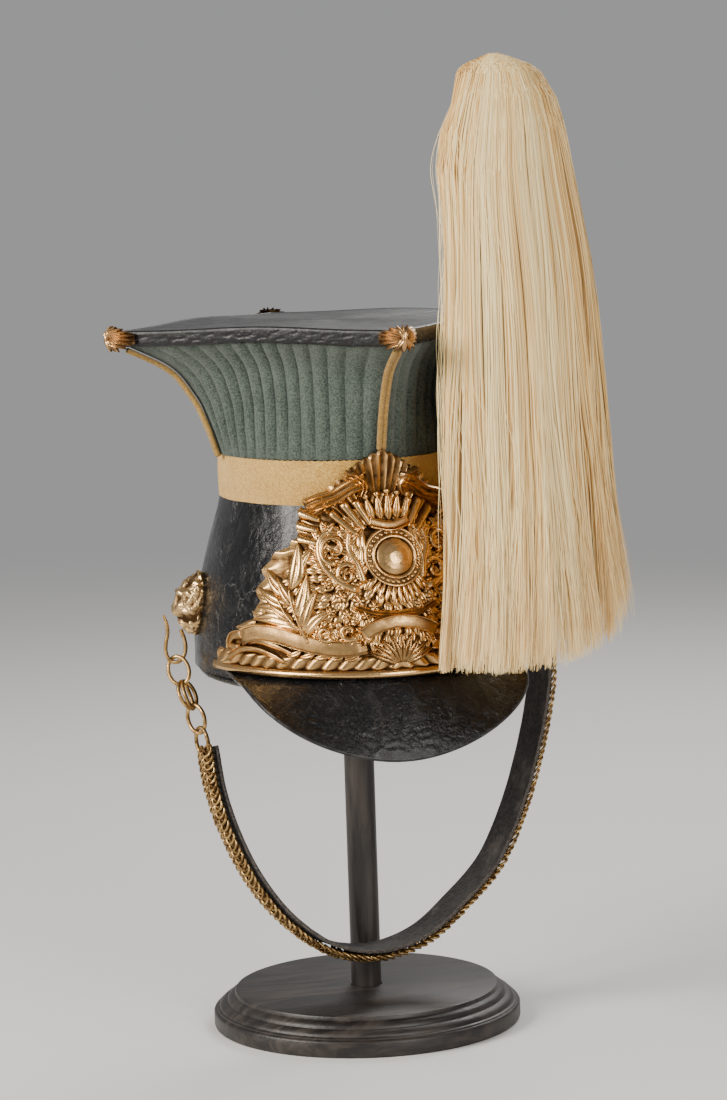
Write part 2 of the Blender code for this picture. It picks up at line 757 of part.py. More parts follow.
def plate_outline():
    """Outline of the wearer's left half from the tip down: (angle, height share, is_ray)."""
    points = []
    rows = list(reversed(PLATE_ROWS))
    for row, below in zip(rows, rows[1:]):
        points.append((math.radians(row.half_angle), row.height, True))
        angle = 0.5 * math.radians(row.half_angle + below.half_angle) * NOTCH
        share = 0.5 * (row.height + below.height)
        points.append((angle, SHIELD_SHARE + (share - SHIELD_SHARE) * NOTCH, False))
    corner = math.radians(PLATE_ROWS[0].half_angle)
    for i in range(PLATE_FOOT_STEPS + 1):
        points.append((corner * (1.0 - i / PLATE_FOOT_STEPS), 0.0, False))
    return points


def build_plate(brass):
    """Rayed plate: a fan of ridged rays from the shield, with raised work joined on."""
    half = plate_outline()
    outline = half + [(-angle, share, ray) for angle, share, ray in reversed(half[1:-1])]
    sizes = (0.14, 0.31, 0.48, 0.65, 0.83, 1.0)
    rings = []
    for face in (0, 1):
        for size in sizes if face == 0 else reversed(sizes):
            ring = []
            for angle, share, ray in outline:
                z = PLATE_FOOT + (SHIELD_SHARE + (share - SHIELD_SHARE) * size) * PLATE_HEIGHT
                ridge = RAY_DEPTH * smooth(2.4 * size - 0.2) if ray else 0.0
                ring.append(plate_point(angle * size, z, face * (PLATE_WALL + ridge)))
            rings.append(ring)
    z = PLATE_FOOT + SHIELD_SHARE * PLATE_HEIGHT
    bm = loft(rings, start_pole=plate_point(0.0, z, 0.0), end_pole=plate_point(0.0, z, PLATE_WALL),
              back_rows=len(sizes))
    plate = finish_mesh(bm, "plate", brass, cap)
    work = [shield_boss(brass), plate_flange(brass), plate_coronet(brass)]
    work += plate_ribbons(brass)
    work += plate_leaves(brass)
    drop_trapped_space(fuse(plate, work))


def relief(name, rings, brass, closed=True, **caps):
    """Raised piece in plate coordinates (angle, height, out), bent on to the skull."""
    bent = [[plate_point(*point) for point in ring] for ring in rings]
    for key in ("start_pole", "end_pole"):
        if caps.get(key) is not None:
            caps[key] = plate_point(*caps[key])
    return finish_mesh(loft(bent, closed, **caps), name, brass, cap)


def shield_boss(brass):
    sides = 12
    z = PLATE_FOOT + SHIELD_SHARE * PLATE_HEIGHT
    rows = (
        (1.18, WORK_FOOT),
        (1.16, PLATE_WALL + 0.42 * SHIELD_BULGE),
        (0.94, PLATE_WALL + 0.30 * SHIELD_BULGE),
        (0.60, PLATE_WALL + 0.84 * SHIELD_BULGE),
    )
    rings = []
    for size, out in rows:
        ring = []
        for i in range(sides):
            turn = 2.0 * math.pi * i / sides
            across = size * SHIELD_RADIUS * math.sin(turn)
            up = size * SHIELD_RADIUS * 1.16 * math.cos(turn)
            ring.append((across / arc_length(0.0, z), z + up, out))
        rings.append(ring)
    return relief("plate_shield", rings, brass, start_pole=(0.0, z, WORK_FOOT),
                  end_pole=(0.0, z, PLATE_WALL + SHIELD_BULGE))


def plate_flange(brass):
    """Turned foot of the plate, with a row of waves standing on it."""
    stations = 30
    half = math.radians(PLATE_ROWS[0].half_angle - 1.5)
    rings = []
    for i in range(stations + 1):
        along = 2.0 * i / stations - 1.0
        angle = half * along
        ends = smooth((1.0 - abs(along)) * 5.0)
        crest = 1.0 if i % 2 else 0.45
        height = (2.0 + (2.5 + 6.0 * crest * (0.7 + 0.5 * abs(along))) * ends) * mm
        depth = (0.9 + 2.2 * ends) * mm
        low = PLATE_FOOT + 0.2 * mm
        rings.append([
            (angle, low, WORK_FOOT),
            (angle, low, depth),
            (angle, low + 0.28 * height, depth + 0.9 * mm * crest),
            (angle, low + height, 0.5 * depth + 0.9 * mm * crest),
            (angle, low + height, WORK_FOOT),
        ])
    return relief("plate_flange", rings, brass, start_cap=True, end_cap=True)


def plate_ribbons(brass):
    """Blank scrolls: a long one above the waves on each side and a short one over the middle."""
    Ribbon = namedtuple("Ribbon", "start end low rise width")
    table = (
        Ribbon(-66.0, -14.0, 0.105, 0.075, 8.0),
        Ribbon(-23.0, 24.5, 0.265, 0.062, 6.5),
        Ribbon(14.0, 66.0, 0.105, 0.075, 8.0),
    )
    pieces = []
    stations = 7
    for row in table:
        rings = []
        for i in range(stations + 1):
            share = i / stations
            degrees = row.start + (row.end - row.start) * share
            angle = math.radians(degrees)
            lift = row.rise * math.sin(math.pi * share * 0.9) * PLATE_HEIGHT
            z = PLATE_FOOT + row.low * PLATE_HEIGHT + lift
            half = 0.5 * row.width * mm
            out = PLATE_WALL + RAY_DEPTH * 0.9 + 0.9 * mm * math.cos(3.0 * math.pi * share)
            ring = [
                (angle, z - half, WORK_FOOT),
                (angle, z - half, out),
                (angle, z, out + 0.7 * mm),
                (angle, z + half, out),
                (angle, z + half, WORK_FOOT),
            ]
            rings.append(ring)
        pieces.append(relief("plate_ribbon", rings, brass, start_cap=True, end_cap=True))
    return pieces


def plate_leaves(brass):
    """Laurel sprays on both sides: each leaf is a ridged lozenge."""
    Leaf = namedtuple("Leaf", "degrees height tilt length")
    table = (
        Leaf(43.5, 0.32, 68.0, 26.0),
        Leaf(37.0, 0.40, 28.0, 24.0),
        Leaf(44.5, 0.46, 60.0, 24.0),
        Leaf(34.0, 0.56, 28.0, 24.0),
    )
    pieces = []
    for side in (-1, 1):
        for row in table:
            angle = side * math.radians(row.degrees)
            z = PLATE_FOOT + row.height * PLATE_HEIGHT
            tilt = math.radians(row.tilt)
            along = (side * math.sin(tilt), math.cos(tilt))
            aside = (math.cos(tilt) * side, -math.sin(tilt))
            length = 0.5 * row.length * mm
            outline = ((-1.0, 0.0), (-0.35, 0.36), (0.25, 0.36), (1.0, 0.0), (0.25, -0.36), (-0.35, -0.36))

            def spot(forward, sideways, out):
                across = length * (along[0] * forward + aside[0] * sideways)
                up = length * (along[1] * forward + aside[1] * sideways)
                return (angle + across / arc_length(angle, z), z + up, out)

            ring = [spot(forward, sideways, WORK_FOOT) for forward, sideways in outline]
            shoulder = [spot(0.94 * forward, 0.94 * sideways, PLATE_WALL + RAY_DEPTH * 0.8)
                        for forward, sideways in outline]
            if side < 0:
                ring.reverse()
                shoulder.reverse()
            crest = spot(0.0, 0.0, PLATE_WALL + RAY_DEPTH + 1.9 * mm)
            pieces.append(relief("plate_leaf", [ring, shoulder], brass,
                                 start_pole=spot(0.0, 0.0, WORK_FOOT), end_pole=crest))
    return pieces


def plate_coronet(brass):
    """Small open coronet with five points over the shield."""
    z = PLATE_FOOT + SHIELD_SHARE * PLATE_HEIGHT + 1.16 * SHIELD_RADIUS + 3.5 * mm
    outline = ((-9.0, 0.0), (9.0, 0.0), (11.5, 11.0), (7.5, 6.5), (5.5, 13.5), (2.8, 7.5), (0.0, 15.5),
               (-2.8, 7.5), (-5.5, 13.5), (-7.5, 6.5), (-11.5, 11.0))
    middle = 6.0
    rings = []
    shoulder = PLATE_WALL + RAY_DEPTH + 0.8 * mm
    for size, out in ((1.0, WORK_FOOT), (1.0, shoulder), (0.86, shoulder + 1.2 * mm)):
        ring = []
        for across, up in outline:
            ring.append((size * across * mm / arc_length(0.0, z),
                         z + (middle + size * (up - middle)) * mm, out))
        rings.append(ring)
    return relief("plate_coronet", rings, brass, start_pole=(0.0, z + middle * mm, WORK_FOOT), end_cap=True)


# Bosses, hooks, chain

def boss_rise(radius_share, turn):
    """Height of the lion mask: mane locks round a brow, muzzle and chin."""
    up = radius_share * math.cos(turn)
    side = radius_share * math.sin(turn)
    dome = 1.0 - radius_share ** 3.0
    mane = 0.10 * math.cos(9.0 * turn) * smooth((radius_share - 0.4) * 3.0)
    muzzle = 0.16 * math.exp(-((up + 0.22) / 0.26) ** 2 - (side / 0.24) ** 2)
    brow = 0.12 * math.exp(-((up - 0.30) / 0.12) ** 2 - ((abs(side) - 0.24) / 0.16) ** 2)
    eyes = -0.10 * math.exp(-((up - 0.12) / 0.10) ** 2 - ((abs(side) - 0.24) / 0.10) ** 2)
    return 0.90 * dome + mane + muzzle + brow + eyes


def build_boss(name, angle, brass):
    columns = 18
    edge = 2.0 * mm
    rings = [[], []]
    for i in range(columns):
        turn = 2.0 * math.pi * i / columns
        lobe = 1.0 if i % 2 == 0 else 0.93
        x, y = BOSS_RADIUS * lobe * math.sin(turn), BOSS_RADIUS * lobe * math.cos(turn)
        rings[0].append(Vector((x, y, 0.0)))
        rings[1].append(Vector((x, y, edge)))
    for share in (0.80, 0.56, 0.34, 0.15):
        ring = []
        for i in range(columns):
            turn = 2.0 * math.pi * i / columns
            x, y = BOSS_RADIUS * share * math.sin(turn), BOSS_RADIUS * share * math.cos(turn)
            ring.append(Vector((x, y, edge + (BOSS_BULGE - edge) * boss_rise(share, turn))))
        rings.append(ring)
    tip = Vector((0.0, 0.0, edge + (BOSS_BULGE - edge) * boss_rise(0.0, 0.0)))
    bm = loft(rings, start_cap=True, end_pole=tip)
    bmesh.ops.transform(bm, verts=bm.verts, matrix=boss_place(angle))
    finish_mesh(bm, name, brass, cap)


def boss_place(angle):
    return skull_frame(angle, RIM_HEIGHT + BOSS_HEIGHT, 2.0 * SEAT_GAP)


def build_hook(name, angle, brass):
    """S-shaped wire hook under a boss: from the mask's chin down, round and out to its tip."""
    HookPoint = namedtuple("HookPoint", "out up")
    shape = (
        HookPoint(0.60, -0.92), HookPoint(0.46, -1.20), HookPoint(0.38, -1.54), HookPoint(0.43, -1.80),
        HookPoint(0.60, -1.97), HookPoint(0.82, -1.95), HookPoint(0.98, -1.74), HookPoint(1.03, -1.40),
        HookPoint(1.01, -1.06), HookPoint(1.08, -0.76), HookPoint(1.21, -0.50),
    )
    place = boss_place(angle)
    points = []
    for row in shape:
        points.append(place @ Vector((0.0, row.up * BOSS_RADIUS, row.out * BOSS_RADIUS)))
    return wire(name, points, WIRE_RADIUS, brass, cap)


def link_points(centre, axis, face, length, sides=10):
    """Oval ring: its long way runs along the axis, and face is its flat side's normal."""
    axis = axis.normalized()
    across = face.cross(axis).normalized()
    half_length = 0.5 * length - WIRE_RADIUS
    half_width = 0.5 * LINK_WIDTH - WIRE_RADIUS
    points = []
    for i in range(sides):
        turn = 2.0 * math.pi * i / sides
        points.append(centre + axis * (half_length * math.cos(turn)) + across * (half_width * math.sin(turn)))
    return points


def build_links(name, start, end, brass):
    """Row of open links from a hook's wire to a chain's end ring, fused where they touch.

    The start and the end are the middles of the two wires that the row hangs between, so
    the links' length follows from the way that they have to fill."""
    axis = (end - start).normalized()
    count = len(LINK_TURNS)
    free_bite = 2.0 * WIRE_RADIUS + RIDE_GAP
    fused_bite = 2.0 * WIRE_RADIUS - LINK_BITE
    inner = ((end - start).length + 2.0 * free_bite + (count - 1) * fused_bite) / count
    rings = []
    for i in range(count):
        centre = start + axis * (0.5 * inner - free_bite + (inner - fused_bite) * i)
        face = Matrix.Rotation(math.radians(LINK_TURNS[i]), 3, axis) @ Vector((0.0, -1.0, 0.0))
        points = link_points(centre, axis, face, inner + 2.0 * WIRE_RADIUS)
        ring = wire(name if i == 0 else name + "_ring", points, WIRE_RADIUS, brass, root, cyclic=True)
        rings.append(as_mesh(ring))
    return fuse(rings[0], rings[1:])


def strap_frames():
    """Route of the strap with its width and its outer side at each station."""
    rim = Vector((0.0, 0.0, RIM_HEIGHT))
    route = [rim + Vector(point) * mm for point in STRAP_ROUTE]
    points = smooth_route(route, CHAIN_PITCH)
    frames = []
    last = len(points) - 1
    for i, point in enumerate(points):
        along = (points[min(i + 1, last)] - points[max(i - 1, 0)]).normalized()
        share = i / last
        start, foot, end = STRAP_TWIST
        twist = start + (foot - start) * min(2.0 * share, 1.0)
        if share > 0.5:
            twist = foot + (end - foot) * (2.0 * share - 1.0)
        across = Matrix.Rotation(math.radians(twist), 3, "Z") @ Vector((0.0, 1.0, 0.0))
        across = (across - along * across.dot(along)).normalized()
        outward = across.cross(along).normalized()
        frames.append((point, along, across, outward))
    return frames


def build_strap(leather, brass):
    frames = strap_frames()
    half = 0.5 * STRAP_WIDTH
    rings = []
    for point, along, across, outward in frames[::2] + frames[-1:]:
        inner = -outward * (0.5 * STRAP_WALL)
        outer = outward * (0.5 * STRAP_WALL)
        rings.append([point - across * half + inner, point + across * half + inner,
                      point + across * half + outer, point - across * half + outer])
    finish_mesh(loft(rings, start_cap=True, end_cap=True), "chin_strap", leather, root)
    rings = []
    chain_half = 0.5 * CHAIN_WIDTH
    for i, (point, along, across, outward) in enumerate(frames):
        foot = point + outward * (0.5 * STRAP_WALL + SEAT_GAP)
        full = 1.0 if i % 2 == 0 else 0.78
        rings.append([foot - across * (chain_half * full),
                      foot + across * (chain_half * full),
                      foot + across * (0.72 * chain_half * full) + outward * (CHAIN_DEPTH * full),
                      foot - across * (0.72 * chain_half * full) + outward * (CHAIN_DEPTH * full)])
    chain = finish_mesh(loft(rings, start_cap=True, end_cap=True), "ring_chain", brass, root)
    rings = []
    for start, end, flat_side in end_rings(frames):
        middle = 0.5 * (start + end)
        length = (end - start).length + 2.0 * WIRE_RADIUS
        points = link_points(middle, end - start, flat_side, length)
        rings.append(as_mesh(wire("end_ring", points, WIRE_RADIUS, brass, root, cyclic=True)))
    fuse(chain, rings)


def end_rings(frames):
    """Rings at the chain's two ends: the middles of the wire at each one's near and far
    end, and its flat side. The one on the wearer's left goes straight on to its hook."""
    rings = []
    for frame, sign in ((frames[0], -1.0), (frames[-1], 1.0)):
        point, along, across, outward = frame
        near = point + outward * (0.5 * STRAP_WALL + SEAT_GAP + 1.1 * WIRE_RADIUS)
        near = near - along * (sign * RING_HOLD)
        if sign < 0.0:
            far = near - along * (LINK_LENGTH - 2.0 * WIRE_RADIUS)
        else:
            hook = hook_spot(BOSS_ANGLE, 1.035, -1.30)
            far = hook + (hook - near).normalized() * (2.0 * WIRE_RADIUS + RIDE_GAP)
        rings.append((near, far, (far - near).cross(across).normalized()))
    return rings


def hook_spot(angle, out, up):
    """Place in the hook's plane, as shares of the boss's radius, in world coordinates."""
    return cap_matrix() @ (boss_place(angle) @ Vector((0.0, up * BOSS_RADIUS, out * BOSS_RADIUS)))


def cap_matrix():
    return Matrix.Translation(CAP_OFFSET)


def build_open_links(brass):
    start = hook_spot(-BOSS_ANGLE, 0.66, -1.97)
    end = end_rings(strap_frames())[0][1]
    build_links("open_links", start, end, brass)


# Rosette and plume

def rosette_place():
    """Flat place on the middle of the cloth face at the plume's side."""
    rim_share = ROSETTE_SHARE + ROSETTE_RADIUS / CLOTH_HEIGHT
    height = CLOTH_FOOT + ROSETTE_SHARE * CLOTH_HEIGHT
    outward = Vector((math.sin(PLUME_ANGLE), -math.cos(PLUME_ANGLE), 0.0))
    lean = math.tan(ROSETTE_LEAN) * ROSETTE_RADIUS
    out_middle = cloth_reach(PLUME_ANGLE, ROSETTE_SHARE)
    out_top = cloth_reach(PLUME_ANGLE, min(rim_share, 1.0)) - lean
    reach = max(out_middle, out_top) + FLUTE_DEPTH + RIDE_GAP
    face = (outward * math.cos(ROSETTE_LEAN) - Vector((0.0, 0.0, math.sin(ROSETTE_LEAN)))).normalized()
    across = Vector((0.0, 0.0, 1.0)).cross(face).normalized()
    up = face.cross(across)
    turn = Matrix((across, up, face)).transposed().to_4x4()
    return Matrix.Translation(outward * reach + Vector((0.0, 0.0, height))) @ turn


def build_rosette(leather, lace, brass):
    place = rosette_place()
    top = ROSETTE_WALL
    disc = turned("rosette_disc", [(0.0, top), (0.92 * ROSETTE_RADIUS, top), (ROSETTE_RADIUS, 0.55 * top),
                                   (ROSETTE_RADIUS, 0.0), (0.0, 0.0)], 18, leather, cap)
    disc.matrix_basis = place
    low = top + SEAT_GAP
    braid_out = 0.86 * ROSETTE_RADIUS
    braid_in = BUTTON_RADIUS + SEAT_GAP
    profile = [(braid_in, low), (braid_in, low + 2.0 * mm), (0.5 * (braid_in + braid_out), low + 3.2 * mm),
               (braid_out, low + 1.6 * mm), (braid_out, low)]
    braid = turned("rosette_braid", profile, 18, lace, cap, ring=True)
    braid.matrix_basis = place
    high = low + 6.0 * mm
    profile = [(0.0, high), (0.6 * BUTTON_RADIUS, high - 1.0 * mm), (BUTTON_RADIUS, low + 2.0 * mm),
               (BUTTON_RADIUS, low), (0.0, low)]
    button = turned("rosette_button", profile, 14, brass, cap)
    button.matrix_basis = place
    outward = Vector((math.sin(PLUME_ANGLE), -math.cos(PLUME_ANGLE), 0.0))
    start = place @ Vector((0.0, 0.0, high + SEAT_GAP))
    inner = table_value(PLUME_ROWS, "inner", (start.z - PLUME_FOOT) / (PLUME_TOP - PLUME_FOOT))
    reach = PLUME_AXIS - inner * PLUME_DEPTH - SEAT_GAP
    end = Vector((outward.x * reach, outward.y * reach, start.z))
    wire("plume_socket", [start, start.lerp(end, 0.5), end], SOCKET_RADIUS, brass, cap)


def plume_point(row, column, columns):
    """Point of the hanging hair; odd columns are the grooves between locks."""
    turn = 2.0 * math.pi * column / columns
    cosine, sine = math.cos(turn), math.sin(turn)
    if cosine > 0.0:
        reach = row.outer * PLUME_DEPTH * cosine
    else:
        reach = -row.inner * PLUME_DEPTH * abs(cosine) ** 0.45
    across = row.across * PLUME_SPREAD * math.copysign(abs(sine) ** 0.86, sine)
    groove = 1.0
    if column % 2 and cosine > -0.35:
        groove = 1.0 - LOCK_DEPTH * smooth(1.6 * row.outer - 0.3)
    outward = Vector((math.sin(PLUME_ANGLE), -math.cos(PLUME_ANGLE), 0.0))
    aside = Vector((math.cos(PLUME_ANGLE), math.sin(PLUME_ANGLE), 0.0))
    spot = outward * (PLUME_AXIS + reach * groove) + aside * (across * groove)
    z = PLUME_FOOT + row.height * (PLUME_TOP - PLUME_FOOT)
    if row.height == 0.0:
        z += PLUME_FOOT_RISE * smooth(cosine) + (4.0 * mm if column % 2 else 0.0)
    return Vector((spot.x, spot.y, z))


def build_plume(hair):
    columns = 2 * PLUME_LOCKS
    rings = [[plume_point(row, i, columns) for i in range(columns)] for row in PLUME_ROWS]
    outward = Vector((math.sin(PLUME_ANGLE), -math.cos(PLUME_ANGLE), 0.0))
    crown = outward * (PLUME_AXIS + 0.03 * PLUME_DEPTH) + Vector((0.0, 0.0, PLUME_TOP))
    middle = outward * (PLUME_AXIS + 0.35 * PLUME_DEPTH)
    middle.z = PLUME_FOOT + 0.8 * PLUME_FOOT_RISE
    bm = loft(rings, start_pole=middle, end_pole=crown)
    finish_mesh(bm, "plume", hair, cap, 50.0)


clear_scene()
parts = bpy.data.collections.new("lance_cap")
cutters = bpy.data.collections.new("lance_cap_cutters")
for group in (parts, cutters):
    bpy.context.scene.collection.children.link(group)

root = bpy.data.objects.new("object_origin", None)
stand = bpy.data.objects.new("stand_origin", None)
cap = bpy.data.objects.new("cap_origin", None)
for empty in (root, stand, cap):
    parts.objects.link(empty)
stand.parent = root
cap.parent = root
cap.location = CAP_OFFSET

black_wood = make_material("black_stained_wood", (0.020, 0.013, 0.009), 0.42, 0.0)
patent = make_material("black_patent_leather", (0.010, 0.010, 0.011), 0.22, 0.0)
strap_leather = make_material("chin_strap_leather", (0.016, 0.013, 0.012), 0.75, 0.0)
lace_buff = make_material("buff_lace", (0.64, 0.44, 0.19), 0.80, 0.0)
cord_buff = make_material("mustard_cord", (0.50, 0.32, 0.09), 0.80, 0.0)
grey_cloth = make_material("grey_green_cloth", (0.115, 0.175, 0.165), 0.95, 0.0)
gilding = make_material("gilding_metal", (0.62, 0.34, 0.10), 0.32, 1.0)
old_brass = make_material("old_brass", (0.42, 0.25, 0.09), 0.38, 1.0)
horsehair = make_material("cream_horsehair", (0.80, 0.69, 0.49), 0.55, 0.0)

build_stand(black_wood)
build_skull(patent)
build_binding(patent)
build_peak(patent)
build_band(lace_buff)
build_cloth(grey_cloth)
build_board(patent)

Corner = namedtuple("Corner", "name angle piping_foot")
front_piping_foot = (PLATE_TIP + 1.5 * mm - CLOTH_FOOT) / CLOTH_HEIGHT
for corner in (
    Corner("front", 0.0, front_piping_foot),
    Corner("left", math.pi / 2.0, 0.02),
    Corner("back", math.pi, 0.02),
    Corner("right", -math.pi / 2.0, 0.02),
):
    build_corner_ornament("corner_ornament_" + corner.name, corner.angle, gilding)
    build_corner_piping("corner_piping_" + corner.name, corner.angle, corner.piping_foot, cord_buff)

build_plate(gilding)

for side_name, side_angle in (("right", -BOSS_ANGLE), ("left", BOSS_ANGLE)):
    build_boss("lion_boss_" + side_name, side_angle, gilding)
    build_hook("chain_hook_" + side_name, side_angle, old_brass)

build_strap(strap_leather, old_brass)
build_open_links(old_brass)
build_rosette(patent, lace_buff, gilding)
build_plume(horsehair)
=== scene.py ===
# %% [markdown]
# # A lancer's cap on its wooden stand
#
# The imported model gives the shapes in one shared frame, with the origin under the middle of the
# stand's foot, +Z up, and the cap facing -Y. This notebook dresses that frame: stamped brass, crackled
# patent leather, fluted wool, lace, a chin chain of real rings and a falling horsehair plume. The first
# cell opens the frame.

import math
import random

import bmesh
import bpy
import numpy as np
from mathutils import Matrix, Vector


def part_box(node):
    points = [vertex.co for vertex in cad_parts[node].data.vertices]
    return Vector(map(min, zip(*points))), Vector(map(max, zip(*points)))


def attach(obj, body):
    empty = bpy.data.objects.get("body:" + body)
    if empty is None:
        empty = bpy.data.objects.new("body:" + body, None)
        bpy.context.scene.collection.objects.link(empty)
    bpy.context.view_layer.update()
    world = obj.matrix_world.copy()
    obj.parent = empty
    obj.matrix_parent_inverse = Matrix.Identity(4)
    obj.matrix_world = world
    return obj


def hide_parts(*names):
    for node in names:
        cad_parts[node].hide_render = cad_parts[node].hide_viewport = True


random.seed(5)
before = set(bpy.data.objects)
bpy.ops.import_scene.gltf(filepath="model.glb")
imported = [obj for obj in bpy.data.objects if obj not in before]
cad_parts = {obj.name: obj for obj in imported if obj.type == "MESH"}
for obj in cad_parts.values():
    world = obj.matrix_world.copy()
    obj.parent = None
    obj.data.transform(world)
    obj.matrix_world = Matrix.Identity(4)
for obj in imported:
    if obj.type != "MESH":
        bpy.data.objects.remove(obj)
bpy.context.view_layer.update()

# %% [markdown]
# ## The camera
#
# Perspective is what gives a photograph its feel, so the camera comes first. The photograph was taken
# from almost two metres with a long lens, a little above the cap, turned 17.4 degrees to its
# wearer's right, and it was held slightly askew. The view direction is worked out in a frame that
# looks straight at the cap and is then turned.

# %% Camera
VIEW_TURN = math.radians(17.4)
VIEW_DISTANCE = 1.8867
VIEW_HEIGHT = 0.49665
VIEW_PITCH = 0.1205
VIEW_YAW = 0.0034
VIEW_ROLL = -0.0330
LENS = 111.06
SENSOR = 36.0


def from_view(right, depth, up):
    """A direction or place given as seen from the front of the photograph, in the shared frame."""
    x = right * math.cos(VIEW_TURN) + depth * math.sin(VIEW_TURN)
    y = -right * math.sin(VIEW_TURN) + depth * math.cos(VIEW_TURN)
    return Vector((x, y, up))


def placed(name, data):
    """An object for some data, linked to the scene."""
    thing = bpy.data.objects.new(name, data)
    bpy.context.scene.collection.objects.link(thing)
    return thing


look = from_view(
    math.sin(VIEW_YAW) * math.cos(VIEW_PITCH),
    math.cos(VIEW_YAW) * math.cos(VIEW_PITCH),
    -math.sin(VIEW_PITCH),
)
level_right = from_view(math.cos(VIEW_YAW), -math.sin(VIEW_YAW), 0.0)
level_up = level_right.cross(look)
camera_right = math.cos(VIEW_ROLL) * level_right + math.sin(VIEW_ROLL) * level_up
camera_up = -math.sin(VIEW_ROLL) * level_right + math.cos(VIEW_ROLL) * level_up
lens_data = bpy.data.cameras.new("photo_camera")
lens_data.lens = LENS
lens_data.sensor_width = SENSOR
lens_data.clip_end = 20.0
camera = placed("photo_camera", lens_data)
turn = Matrix((camera_right, camera_up, -look)).transposed().to_4x4()
camera.matrix_world = Matrix.Translation(from_view(0.0, -VIEW_DISTANCE, VIEW_HEIGHT)) @ turn
bpy.context.scene.camera = camera
print("camera at", [round(v, 3) for v in camera.matrix_world.translation])

# %% [markdown]
# ## Tools for materials
#
# The floor's paint and every finish on the cap are trees of shader nodes. These helpers add one node at a
# time, and each input takes either a plain value or another node's socket. Object coordinates keep a
# pattern fixed to the cap, so they are what every finish starts from.

# %% Node helpers
Socket = bpy.types.NodeSocket


def add_node(tree, kind, inputs=None, **settings):
    """A node with its settings and its inputs, which are values or other nodes' sockets."""
    made = tree.nodes.new(kind)
    for key, value in settings.items():
        setattr(made, key, value)
    for key, value in (inputs or {}).items():
        if isinstance(value, Socket):
            tree.links.new(value, made.inputs[key])
            continue
        if made.inputs[key].type == "RGBA":
            value = (*value, 1.0)
        made.inputs[key].default_value = value
    return made


def maths(tree, operation, first, second, clamp=False):
    inputs = {0: first, 1: second}
    return add_node(tree, "ShaderNodeMath", inputs, operation=operation, use_clamp=clamp).outputs[0]


def times(tree, first, second):
    return maths(tree, "MULTIPLY", first, second)


def plus(tree, first, second, clamp=False):
    return maths(tree, "ADD", first, second, clamp)


def mixed(tree, share, first, second):
    """Colour between two others."""
    return add_node(tree, "ShaderNodeMix", {0: share, 6: first, 7: second}, data_type="RGBA").outputs[2]


def ranged(tree, value, low, high, to_low=0.0, to_high=1.0):
    inputs = {0: value, 1: low, 2: high, 3: to_low, 4: to_high}
    return add_node(tree, "ShaderNodeMapRange", inputs, interpolation_type="SMOOTHSTEP").outputs[0]


def noise(tree, where, scale, detail=3.0, roughness=0.5, distortion=0.0):
    names = ("Vector", "Scale", "Detail", "Roughness", "Distortion")
    inputs = dict(zip(names, (where, scale, detail, roughness, distortion)))
    return add_node(tree, "ShaderNodeTexNoise", inputs).outputs[0]


def bump(tree, height, distance, strength=1.0, normal=None):
    inputs = {"Height": height, "Distance": distance, "Strength": strength}
    if normal is not None:
        inputs["Normal"] = normal
    return add_node(tree, "ShaderNodeBump", inputs).outputs[0]


def mark_of(tree, name):
    """A value that the mesh keeps on its points."""
    return add_node(tree, "ShaderNodeAttribute", attribute_name=name).outputs["Fac"]


def new_finish(name, **values):
    """A material, its tree, its Principled shader's inputs with plain values set, and Object coordinates."""
    material = bpy.data.materials.new(name)
    material.use_nodes = True
    tree = material.node_tree
    shader = tree.nodes["Principled BSDF"].inputs
    for key, value in values.items():
        shader[key.replace("_", " ")].default_value = value
    return material, tree, shader, add_node(tree, "ShaderNodeTexCoord").outputs["Object"]


def feed(tree, shader, **sockets):
    """Link sockets to the shader's inputs of the same names."""
    for key, socket in sockets.items():
        tree.links.new(socket, shader[key.replace("_", " ")])


print("node helpers ready")

# %% [markdown]
# ## Studio
#
# Black patent leather shows nothing but what it mirrors, so the lights are large soft panels whose
# edges read as clean streaks on it. The main panel hangs high on the left of the camera, where the
# photograph's own highlights come from. A second one fills the right, and a strip behind gives the
# hair its bright rim. The floor turns clear with distance, so it meets the sky without an edge.

# %% Floor, sky and lights
FLOOR_HALF = 6.0
FADE_FROM, FADE_TO = 0.5, 3.2
SKY_STRENGTH = 0.40
floor_bm = bmesh.new()
bmesh.ops.create_grid(floor_bm, x_segments=1, y_segments=1, size=FLOOR_HALF)
floor_mesh = bpy.data.meshes.new("floor")
floor_bm.to_mesh(floor_mesh)
floor_bm.free()
floor = placed("floor", floor_mesh)
FLOOR_COLOUR = (0.76, 0.75, 0.73, 1.0)
floor_paint, tree, shader, where = new_finish("pale_floor", Base_Color=FLOOR_COLOUR, Roughness=0.65)
far = add_node(tree, "ShaderNodeVectorMath", {0: where}, operation="LENGTH").outputs["Value"]
paint = tree.nodes["Principled BSDF"].outputs[0]
clear = add_node(tree, "ShaderNodeBsdfTransparent").outputs[0]
faded = add_node(tree, "ShaderNodeMixShader", {0: ranged(tree, far, FADE_FROM, FADE_TO), 1: paint, 2: clear})
tree.links.new(faded.outputs[0], tree.nodes["Material Output"].inputs["Surface"])
floor_mesh.materials.append(floor_paint)

sky = bpy.data.worlds.new("studio")
sky.use_nodes = True
sky_light = sky.node_tree.nodes["Background"].inputs
sky_light["Color"].default_value = (0.84, 0.84, 0.85, 1.0)
sky_light["Strength"].default_value = SKY_STRENGTH
bpy.context.scene.world = sky


def soft_panel(name, place, aim, width, height, power, colour):
    """A rectangular soft light at a place in view coordinates, turned to its aim."""
    data = bpy.data.lights.new(name, "AREA")
    data.shape = "RECTANGLE"
    data.size, data.size_y = width, height
    data.energy = power
    data.color = colour
    light = placed(name, data)
    light.location = from_view(*place)
    light.rotation_euler = (from_view(*aim) - light.location).to_track_quat("-Z", "Y").to_euler()


